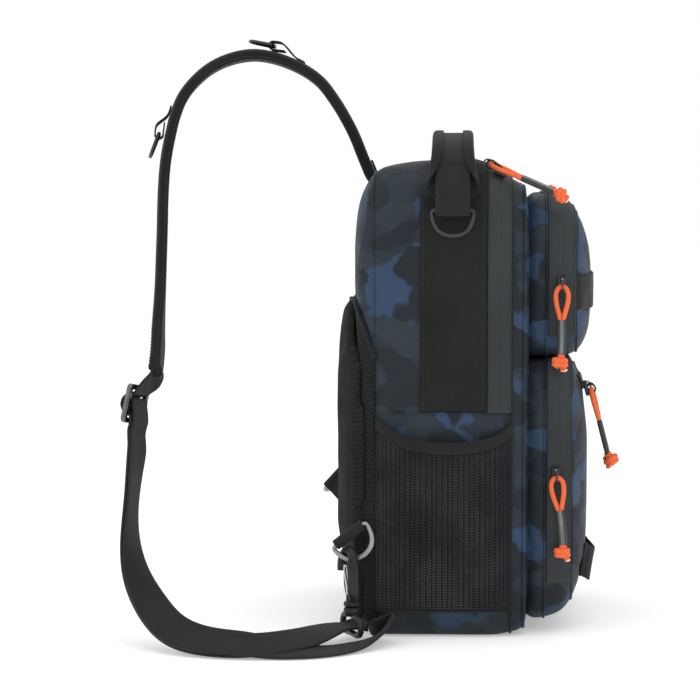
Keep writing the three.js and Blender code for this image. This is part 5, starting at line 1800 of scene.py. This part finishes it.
def arch_rows():
    """Points, half widths and curls along the whole arch, from the near side to the far side."""
    mirrored = [(-x, z, half, curl) for x, z, half, curl in HANDLE_ARCH[-2::-1]]
    table = [*HANDLE_ARCH, *mirrored]
    points = through([mm(x, HANDLE_Y, z) for x, z, _, _ in table], GRIP.steps)
    widths = through([Vector((half, curl, 0)) for _, _, half, curl in table], GRIP.steps)
    return points, widths


def grip_section(reach, half, curl):
    """Across and out in millimetres, from the middle to the lip's edge: a floor that rolls up and over."""
    radius, sweep = LIP.radius, pi * curl
    floor = half - radius * sin(min(pi / 2, sweep))
    along = reach * (floor + radius * sweep + LIP.flange * curl)
    if along <= floor:
        return along, 0.0
    angle = min(sweep, (along - floor) / radius)
    flange = along - floor - radius * angle
    return (floor + radius * sin(angle) + flange * cos(angle),
            radius * (1 - cos(angle)) + flange * sin(angle))


def grip_shape():
    points, widths = arch_rows()
    along = tangents(points)
    last = len(points) - 1

    def place(u, v):
        i = round(v * last)
        curl = min(1.0, max(GRIP.least_curl, widths[i].y))
        across, rise = grip_section(abs(2 * u - 1), widths[i].x, curl)
        out = along[i].cross(Vector((0, 1, 0)))
        return points[i] + Vector((0, copysign(across, 0.5 - u) * MM, 0)) + out * rise * MM

    obj = grid("handle_grip_cloth", 40, last, place)
    thicken(obj, GRIP.cloth * MM)
    round_edges(obj, GRIP.edge * MM)
    return obj


def outer_rows(rows):
    """Points on a strip's outer face, with the directions across it, along it and off the bag."""
    faces = []
    for (at, across), along in zip(rows, tangents([at for at, _ in rows])):
        out = along.cross(across)
        out = out if out.dot(at - HANDLE_CENTRE) > 0 else -out
        faces.append((at + out * sizes().webbing / 2, across, along, out))
    return faces


class SLING_OT_handle(bpy.types.Operator):
    """Make the grab handle's grip and its webbing"""
    bl_idname = "sling.handle"
    bl_label = "Handle"

    def execute(self, context):
        finish(grip_shape(), "black_cloth", ["handle_grip"])
        rows = strip_rows("handle_webbing", lambda p: p.x, 3)
        finish(ribbon("handle_webbing_strip", rows), "webbing", ["handle_webbing"])
        faces = outer_rows(rows)
        top = [face for face in faces if face[0].z > HANDLE_TACKS[1] * MM]
        for i, reach in enumerate((-HANDLE_STITCH, HANDLE_STITCH)):
            line = [at + across * reach for at, across, _, _ in top]
            stitches = stitch_line(f"handle_stitches_{i + 1}", line, [out for _, _, _, out in top])
            finish(stitches, "thread")
        for side, sign in SIDES:
            for i, height in enumerate(HANDLE_TACKS):
                face = min(faces, key=lambda f: abs(f[0].z - height * MM) - TACK_SIDE * sign * f[0].x)
                tack = bar_tack(f"handle_tack_{side}_{i + 1}", *face, sizes().webbing_width * TACK_WIDTH)
                finish(tack, "thread")
        return {"FINISHED"}


# Rings

RING_FATTEN = 0.3 * MM
STRAP_RING_FATTEN = -0.35 * MM
RINGS = (
    ("side_ring_near", "near_ring", "dark_metal", RING_FATTEN),
    ("side_ring_far", "far_ring", "dark_metal", RING_FATTEN),
    ("strap_ring_upper", "upper_ring", "dark_metal", STRAP_RING_FATTEN),
    ("strap_ring_lower", "lower_ring", "dark_metal", STRAP_RING_FATTEN),
    ("corner_ring_near", "bag", "grey_metal", RING_FATTEN),
    ("corner_ring_far", "corner_ring", "grey_metal", RING_FATTEN),
)


def ring_wire(node, name, fatten):
    """A rounded copy of a node: fattened by what smoothing takes away, and subdivided."""
    obj = copy_of(node, name)
    edit(obj, (bpy.ops.mesh.tris_convert_to_quads, {"face_threshold": 1.2, "shape_threshold": 1.6}),
         (bpy.ops.transform.shrink_fatten, {"value": fatten}))
    subdivide(obj, 3)
    return obj


class SLING_OT_rings(bpy.types.Operator):
    """Make the D rings of the handle, the strap and the lower corners"""
    bl_idname = "sling.rings"
    bl_label = "Rings"

    def execute(self, context):
        for node, body, material, fatten in RINGS:
            finish(ring_wire(node, f"{node}_wire", fatten), material, [node], body)
        return {"FINISHED"}


# Strap: pad, root tab, ring tabs, corner tabs

STRAP_ROOT = mm(0, 52, 326)
STRAP_ROOT_WIDTH = 29 * MM
STRAP_TIP = mm(-64.5, 211.6, 183.5)
ROOT_TAB = (330 * MM, 343 * MM)
ROOT_ROWS = 40
ROOT_RISE = 0.6
STRAP_STEPS = 6
# The strap's rise bows towards the bag
ROOT_BOW = Measures(reach=2.5 * MM, height=370 * MM, spread=23 * MM, behind=120 * MM)


def root_bow(height):
    return ROOT_BOW.reach * exp(-((height - ROOT_BOW.height) / ROOT_BOW.spread) ** 2)


def strap_line():
    """Points, directions across and outwards, and widths along the padded strap, from its root."""
    ats, spreads = [STRAP_ROOT], [Vector((-STRAP_ROOT_WIDTH, 0, 0))]
    for ring in rings_of("strap_pad", 8, lambda p: p.y):
        order = sorted(ring, key=lambda p: p.x)
        ats.append(middle(ring))
        spreads.append(middle(order[:2]) - middle(order[-2:]))
    ats.append(STRAP_TIP)
    spreads.append(spreads[-1].copy())
    points, spreads = through(ats, STRAP_STEPS), through(spreads, STRAP_STEPS)
    for point in points:
        if point.y < ROOT_BOW.behind:
            point.y -= root_bow(point.z)
    rows = []
    for at, along, spread in zip(points, tangents(points), spreads):
        across = (spread - along * spread.dot(along)).normalized()
        rows.append((at, across, along.cross(across), spread.length))
    return rows


PAD_THICK = 8.5 * MM
PAD_ROUND = 6 * MM
# Powers that square off the pad's section across and up, its shares of width and thickness at the ends, and
# the length round it
PAD_SQUARE = (0.42, 0.62)
PAD_END = (0.74, 0.12)
PAD_GIRTH = 110 * MM
PAD_STITCH = 4.2 * MM
BOUND_ROWS = slice(4, -3)
SEWN_ROWS = slice(6, -6)
STRAP_BINDING = Measures(inset=0.4 * MM, under=2.6 * MM, radius=1.5 * MM)


def strap_section(u, width):
    """The padded strap's section: crowned faces and a thin sewn edge on each side."""
    angle = 2 * pi * u
    across = width / 2 * signed_power(cos(angle), PAD_SQUARE[0])
    return across, PAD_THICK / 2 * signed_power(sin(angle), PAD_SQUARE[1])


def strap_pad_shape(rows):
    last = len(rows) - 1
    total = distances([row[0] for row in rows])

    def place(u, v):
        i = round(v * last)
        at, across, out, width = rows[i]
        a, n = strap_section(u, width)
        near_end = 1 - min(1.0, min(total[i], total[-1] - total[i]) / PAD_ROUND)
        ends = sqrt(1 - near_end ** 2)
        return at + across * a * lerp(PAD_END[0], 1, ends) + out * n * lerp(PAD_END[1], 1, ends)

    def measure(u, v):
        return u * PAD_GIRTH, total[round(v * last)]

    obj = grid("strap_pad_cloth", 40, last, place, measure)
    close_seams(obj)
    return obj


def strap_edge(name, rows, sign):
    """The binding round one edge of the strap."""
    line = []
    for at, across, out, width in rows:
        edge = across * sign * (width / 2 - STRAP_BINDING.inset)
        line.append(at + edge - out * STRAP_BINDING.under)
    return tube(name, line, STRAP_BINDING.radius, 10)


def pad_stitches(name, rows, sign):
    """A line of stitches inside one edge of the strap's outer face."""
    line = []
    for at, across, out, width in rows:
        edge = width / 2 - PAD_STITCH
        share = (2 * edge / width) ** (1 / PAD_SQUARE[0])
        rise = PAD_THICK / 2 * sqrt(1 - share ** 2) ** PAD_SQUARE[1]
        line.append(at + across * sign * edge + out * rise)
    return stitch_line(name, line, [out for _, _, out, _ in rows])


# A ring's tab: how far behind the bar it is sewn and rises, how high it lies there, and its way round the
# bar in millimetres along the strap and off it
RING_TAB = {"sewn": (22, 5.2), "foot": (15, 5.6), "eye": 3.2, "thickness": 1.2 * MM}
RING_TAB_IN = (-6, 3.2)
RING_TAB_TURN = (100, 55, 10, -35, -80, -115)
RING_TAB_BACK = ((-5, -2.6), (-9, -2.2))
# A folded tab: its eye, the place and half thickness of its throat, and its two layers behind
FOLD = Measures(eye=3.15, throat=(4.6, 0.95), half=0.85, sewn=0.6, thickness=1.5 * MM)
FOLD_TURN = (128, 90, 45, 0, -45, -90, -128)


def bar_turn(radius, degrees):
    """Points round a bar, along a tab and off it."""
    turns = [radians(d) for d in degrees]
    return [(radius * cos(turn), radius * sin(turn)) for turn in turns]


def on_strap(rows, k, behind, rise):
    """A point off the strap's outer face, so far behind one of its rows."""
    way = distances([row[0] for row in rows])
    at, _, out, _ = [row for row, reached in zip(rows, way) if way[k] - reached > behind * MM][-1]
    return at + out * rise * MM


def ring_tab(name, rows, node):
    """A single layer of webbing sewn to the strap that rises to a ring's bar, turns round it and back."""
    joint = next(j for j in frame["joints"] if j["child"] == node)
    bar = Vector(joint["pos_m"])
    k = min(range(len(rows)), key=lambda i: (rows[i][0] - bar).length)
    at, across, out, _ = rows[k]
    along = across.cross(out)
    if along.dot(rows[min(k + 4, len(rows) - 1)][0] - at) < 0:
        along = -along
    line = [on_strap(rows, k, *RING_TAB[part]) for part in ("sewn", "foot")]
    for forward, off in (RING_TAB_IN, *bar_turn(RING_TAB["eye"], RING_TAB_TURN), *RING_TAB_BACK):
        line.append(bar + (along * forward + out * off) * MM)
    return ribbon(name, [(p, across) for p in through(line, 5)], RING_TAB["thickness"])


def folded_tab(name, bar, across, away, reach):
    """Webbing folded round a ring's bar, with its two layers sewn together behind it."""
    up = across.cross(away)
    behind, throat = FOLD.throat
    upper = [(-reach, FOLD.half), (-reach * FOLD.sewn, FOLD.half), (-behind, throat)]
    lower = [(a, -b) for a, b in reversed(upper)]
    line = [*upper, *bar_turn(FOLD.eye, FOLD_TURN), *lower]
    points = through([bar + (away * a + up * b) * MM for a, b in line], 4)
    return ribbon(name, [(p, across) for p in points], FOLD.thickness)


NEAR_BAR = mm(-119, 68.7, 76.2)
NEAR_ALONG = unit(0, -0.783, 0.624)
FAR_BAR = mm(102.6, 87.9, 90.2)
FAR_ALONG = unit(0, -0.67, 0.74)
FAR_AWAY = unit(0.6, 0.594, 0.538)
CORNER_TABS = (
    ("strap_tab_near", NEAR_BAR, NEAR_ALONG, Vector((-1, 0, 0)), 9.5),
    ("strap_tab_far", FAR_BAR, FAR_ALONG, FAR_AWAY, 22),
)


class SLING_OT_strap(bpy.types.Operator):
    """Make the padded strap, its bindings and the tabs that hold it and its rings"""
    bl_idname = "sling.strap"
    bl_label = "Padded strap"

    def execute(self, context):
        rows = strap_line()
        pad = finish(strap_pad_shape(rows), "black_cloth", ["strap_pad"])
        for side, sign in SIDES:
            finish(strap_edge(f"strap_binding_{side}", rows[BOUND_ROWS], -sign), "binding")
        for side, sign in SIDES:
            finish(pad_stitches(f"strap_stitches_{side}", rows[SEWN_ROWS], -sign), "thread")
        for end in ("upper", "lower"):
            tab = ring_tab(f"strap_ring_webbing_{end}", rows, f"{end}_ring")
            finish(tab, "webbing", [f"strap_ring_tab_{end}"])
        rise = PAD_THICK / 2 + sizes().webbing * ROOT_RISE
        root = [row for row in rows[:ROOT_ROWS] if ROOT_TAB[0] < row[0].z < ROOT_TAB[1]]
        anchor = ribbon("strap_root_webbing", [(at + out * rise, across) for at, across, out, _ in root])
        finish(anchor, "webbing", ["strap_anchor"])
        for node, bar, across, away, reach in CORNER_TABS:
            finish(folded_tab(f"{node}_webbing", bar, across, away, reach), "webbing", [node])
        return {"FINISHED"}


# Strap webbing and its slider

SLIDER_AT = mm(-74, 228.5, 165.5)
SLIDER_UP = unit(0.1, -0.2, 0.97)
SLIDER_ACROSS = unit(-0.95, 0.28, 0.156)
SLIDER_OUT = SLIDER_ACROSS.cross(SLIDER_UP)
# The slider's lines across and up, in millimetres: rim, slot ends, slot edges
SLIDER_X = (-17.5, -13.6, 13.6, 17.5)
SLIDER_Z = (-14.5, -10.5, -2.4, 2.4, 10.5, 14.5)
STRAP_SLIDER = Measures(corner=4.6 * MM, thickness=4 * MM, edge=1.35 * MM)


def in_slot(place):
    return abs(place.x) < SLIDER_X[2] * MM and SLIDER_Z[3] * MM < abs(place.y) < SLIDER_Z[4] * MM


def at_corner(place):
    return abs(place.x) > sum(SLIDER_X[2:]) / 2 * MM and abs(place.y) > sum(SLIDER_Z[4:]) / 2 * MM


def strap_slider_shape():
    """A three-bar slider: a flat frame with two slots and rounded bars."""
    columns, rows = len(SLIDER_X) - 1, len(SLIDER_Z) - 1

    def place(u, v):
        return mm(SLIDER_X[round(u * columns)], SLIDER_Z[round(v * rows)], 0)

    obj = grid("strap_slider_frame", columns, rows, place)
    edit(obj, (bpy.ops.mesh.select_all, {"action": "DESELECT"}))
    for polygon in obj.data.polygons:
        polygon.select = in_slot(polygon.center)
    bpy.ops.object.mode_set(mode="EDIT")
    bpy.ops.mesh.select_mode(type="FACE")
    bpy.ops.mesh.delete(type="FACE")
    bpy.ops.mesh.select_mode(type="VERT")
    bpy.ops.mesh.select_all(action="DESELECT")
    bpy.ops.object.mode_set(mode="OBJECT")
    for vertex in obj.data.vertices:
        vertex.select = at_corner(vertex.co)
    bpy.ops.object.mode_set(mode="EDIT")
    bpy.ops.mesh.bevel(affect="VERTICES", offset=STRAP_SLIDER.corner, segments=6)
    bpy.ops.object.mode_set(mode="OBJECT")
    thicken(obj, STRAP_SLIDER.thickness)
    round_edges(obj, STRAP_SLIDER.edge, 4, 40)
    flat = SLIDER_OUT.cross(SLIDER_ACROSS)
    basis = Matrix((SLIDER_ACROSS, flat, SLIDER_OUT)).transposed().to_4x4()
    return moved(obj, Matrix.Translation(SLIDER_AT) @ basis)


RELAX = Measures(passes=14, near=9 * MM, fade=10 * MM, top=120 * MM)


def relaxed(rows):
    """Rows eased towards their neighbours, away from the eye's bar and the ends."""
    bar = HOOK_FOOT + UP * EYE_HALF[0][1] * MM
    free = [smooth_step(((at - bar).length - RELAX.near) / RELAX.fade) for at, _ in rows]
    free = [0.0 if at.z > RELAX.top else share for (at, _), share in zip(rows, free)]
    for _ in range(RELAX.passes):
        eased = [rows[0]]
        for before, row, after, share in zip(rows, rows[1:], rows[2:], free[1:]):
            at = row[0].lerp((before[0] + after[0]) / 2, share / 2)
            across = row[1].lerp((before[1] + after[1]) / 2, share / 2)
            eased.append((at, across.normalized()))
        rows = [*eased, rows[-1]]
    return rows


# The webbing's turn beyond the hook's eye: where its lean starts, and which way and how far it leans
TURN_LEAN = Measures(start=60 * MM, fade=10 * MM, lean=Vector((-0.45, -0.6, 0)))


def leaned(rows):
    """Rows whose upper edge leans off the bag in the turn beyond the eye, with the lower edge kept down."""
    half = sizes().webbing_width / 2
    found = []
    for at, across in rows:
        share = smooth_step((TURN_LEAN.start - at.y) / TURN_LEAN.fade)
        lean = (across + TURN_LEAN.lean * share * across.z).normalized()
        drop = (abs(across.z) - abs(lean.z)) * half
        found.append((at - UP * drop, lean))
    return found


class SLING_OT_strap_webbing(bpy.types.Operator):
    """Make the strap's long webbing and its three-bar slider"""
    bl_idname = "sling.strap_webbing"
    bl_label = "Strap webbing"

    def execute(self, context):
        rows = leaned(relaxed(strip_rows("strap_webbing", lambda p: -p.z, 3)))
        finish(ribbon("strap_webbing_strip", rows, columns=8), "webbing", ["strap_webbing"])
        finish(strap_slider_shape(), "slider_finish", ["strap_slider"], smooth=35)
        return {"FINISHED"}


# Snap hook

HOOK_FOOT = mm(-126.1, 66.4, 0)
HOOK_SIDE = unit(0.86, 0.51, 0)
HOOK_NORMAL = unit(0.51, -0.86, 0)
EYE_BAR = unit(-0.9, -0.43, 0)
UP = Vector((0, 0, 1))
# Middle line of the hook in millimetres to the side and up, and its radius
HOOK_LINE = ((-1, 27.5, 3.2), (-4.6, 33, 3.0), (-5.2, 45, 2.7), (-4.4, 55.5, 2.9), (-1.2, 62.8, 3.2),
             (4, 65.2, 3.4), (10.4, 63, 3.5), (14.2, 57, 3.6), (14.9, 52, 3.6), (14.9, 49.6, 3.4))
EYE_HALF = ((0, 6.2), (12, 6.2), (15.5, 8.7), (16, 12.35), (14, 17), (9, 18.5), (0, 19.5))
EYE_WIRE = 2.3
# Turned pieces as heights and radii, and the gate's post, in millimetres
HOOK_BASE = ((25.35, 4.2), (25.6, 5.6), (26.2, 6.0), (28.0, 6.0), (28.8, 5.6), (29.2, 4.4))
HOOK_COLLAR = ((18.6, 4.0), (19.4, 5.4), (20.2, 6.0), (23.6, 6.0), (24.4, 5.6), (25.0, 4.6))
HOOK_POST = Measures(side=3.4, heights=(27, 30.2, 33.4), radius=2.6)
HOOK_STEPS = 6
SPINE = Measures(low=29, high=63, fade=8, side=2, round=3, wide=1.7, shift=-1.5)
GATE = Measures(pivot=(3.4, 29.6), tip=(10, 53), wire=0.65, spread=1.1, bend=0.8, ball=1.5,
                least=0.05, neck=1, knob=0.3)


def by_hook(side, up, off=0.0):
    return HOOK_FOOT + HOOK_SIDE * side * MM + UP * up * MM + HOOK_NORMAL * off * MM


def widen_spine(hook):
    """Flattens the hook's back into a broad spine that stands off to one side."""
    for vertex in hook.data.vertices:
        place = vertex.co - HOOK_FOOT
        up, side, off = place.z / MM, place.dot(HOOK_SIDE) / MM, place.dot(HOOK_NORMAL)
        share = smooth_step((up - SPINE.low) / SPINE.fade)
        share *= smooth_step((SPINE.high - up) / SPINE.fade)
        share *= smooth_step((SPINE.side - side) / SPINE.round)
        vertex.co += HOOK_NORMAL * share * (off * (SPINE.wide - 1) + SPINE.shift * MM)


def hook_body_shape():
    """The hook's bow with its broad spine, the turned base under it and the gate's post."""
    line = through([by_hook(side, up) for side, up, _ in HOOK_LINE], HOOK_STEPS)
    radii = [v.x * MM for v in through([Vector((r, 0, 0)) for _, _, r in HOOK_LINE], HOOK_STEPS)]
    hook = tube("hook_bow", line, radii, 16)
    widen_spine(hook)
    base = turned("hook_base", HOOK_FOOT, UP, HOOK_BASE)
    rise = through([by_hook(HOOK_POST.side, up) for up in HOOK_POST.heights], 3)
    post = tube("hook_post", rise, HOOK_POST.radius * MM, 16)
    return joined("hook_bow", [hook, base, post])


def hook_eye_shape():
    whole = [*EYE_HALF, *[(-a, z) for a, z in EYE_HALF[-2:0:-1]]]
    line = [HOOK_FOOT + EYE_BAR * a * MM + UP * z * MM for a, z in whole]
    eye = tube("hook_eye_ring", through(line, 5, closed=True), EYE_WIRE * MM, 16, closed=True)
    collar = turned("hook_collar", HOOK_FOOT, UP, HOOK_COLLAR)
    return joined("hook_eye_ring", [eye, collar])


def gate_shape():
    (ps, pu), (ts, tu) = GATE.pivot, GATE.tip

    def half(spread):
        middle_side, middle_up = (ps + ts) / 2, (pu + tu) / 2
        return [by_hook(ps, pu, spread), by_hook(middle_side, middle_up, spread),
                by_hook(ts, tu - GATE.neck, GATE.bend * spread)]

    line = [*half(-GATE.spread), by_hook(ts, tu), *half(GATE.spread)[::-1]]
    wire = tube("hook_gate_wire", through(line, 6), GATE.wire * MM, 12)
    ball, turns = GATE.ball, [pi * share for share in shares(10)]
    profile = [(-ball * cos(turn), max(ball * sin(turn), GATE.least)) for turn in turns]
    knob = turned("gate_knob", by_hook(ts, tu + GATE.knob), UP, profile, 20)
    return joined("hook_gate_wire", [wire, knob])


class SLING_OT_hook(bpy.types.Operator):
    """Make the swivel snap hook at the lower near corner"""
    bl_idname = "sling.hook"
    bl_label = "Snap hook"

    def execute(self, context):
        finish(hook_body_shape(), "black_plastic", ["hook_body"])
        finish(hook_eye_shape(), "black_plastic", ["hook_eye"])
        finish(gate_shape(), "steel_wire", ["hook_gate"], "gate")
        return {"FINISHED"}


# Panel and registration

STEPS = (
    SLING_OT_finishes, SLING_OT_stage, SLING_OT_zip_pulls, SLING_OT_shells, SLING_OT_seams,
    SLING_OT_zip_bands, SLING_OT_side_panels, SLING_OT_mesh_pockets, SLING_OT_back_pad,
    SLING_OT_front_trim, SLING_OT_handle, SLING_OT_rings, SLING_OT_strap, SLING_OT_strap_webbing,
    SLING_OT_hook,
)


class SLING_PT_panel(bpy.types.Panel):
    """Lists the steps that build the bag"""
    bl_idname = "SLING_PT_panel"
    bl_label = "Sling bag"
    bl_space_type = "VIEW_3D"
    bl_region_type = "UI"
    bl_category = "Sling bag"

    def draw(self, context):
        for step in STEPS:
            self.layout.operator(step.bl_idname)
        for group in (context.scene.sling_sizes, context.scene.sling_colours, context.scene.sling_stage):
            box = self.layout.box()
            for key in group.__annotations__:
                box.prop(group, key)


GROUPS = (("sling_sizes", SlingSizes), ("sling_colours", SlingColours), ("sling_stage", SlingStage))


def register():
    for _, group in GROUPS:
        bpy.utils.register_class(group)
    for step in (*STEPS, SLING_PT_panel):
        bpy.utils.register_class(step)
    for name, group in GROUPS:
        setattr(bpy.types.Scene, name, PointerProperty(type=group))


def unregister():
    for name, _ in GROUPS:
        delattr(bpy.types.Scene, name)
    for step in (SLING_PT_panel, *reversed(STEPS)):
        bpy.utils.unregister_class(step)
    for _, group in reversed(GROUPS):
        bpy.utils.unregister_class(group)


def main():
    register()
    for step in STEPS:
        group, name = step.bl_idname.split(".")
        getattr(getattr(bpy.ops, group), name)()
    boxes = {"cad": CAD_BOX, "visual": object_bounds()}
    {key: [list(corner) for corner in box] for key, box in boxes.items()}


if __name__ == "__main__":
    main()
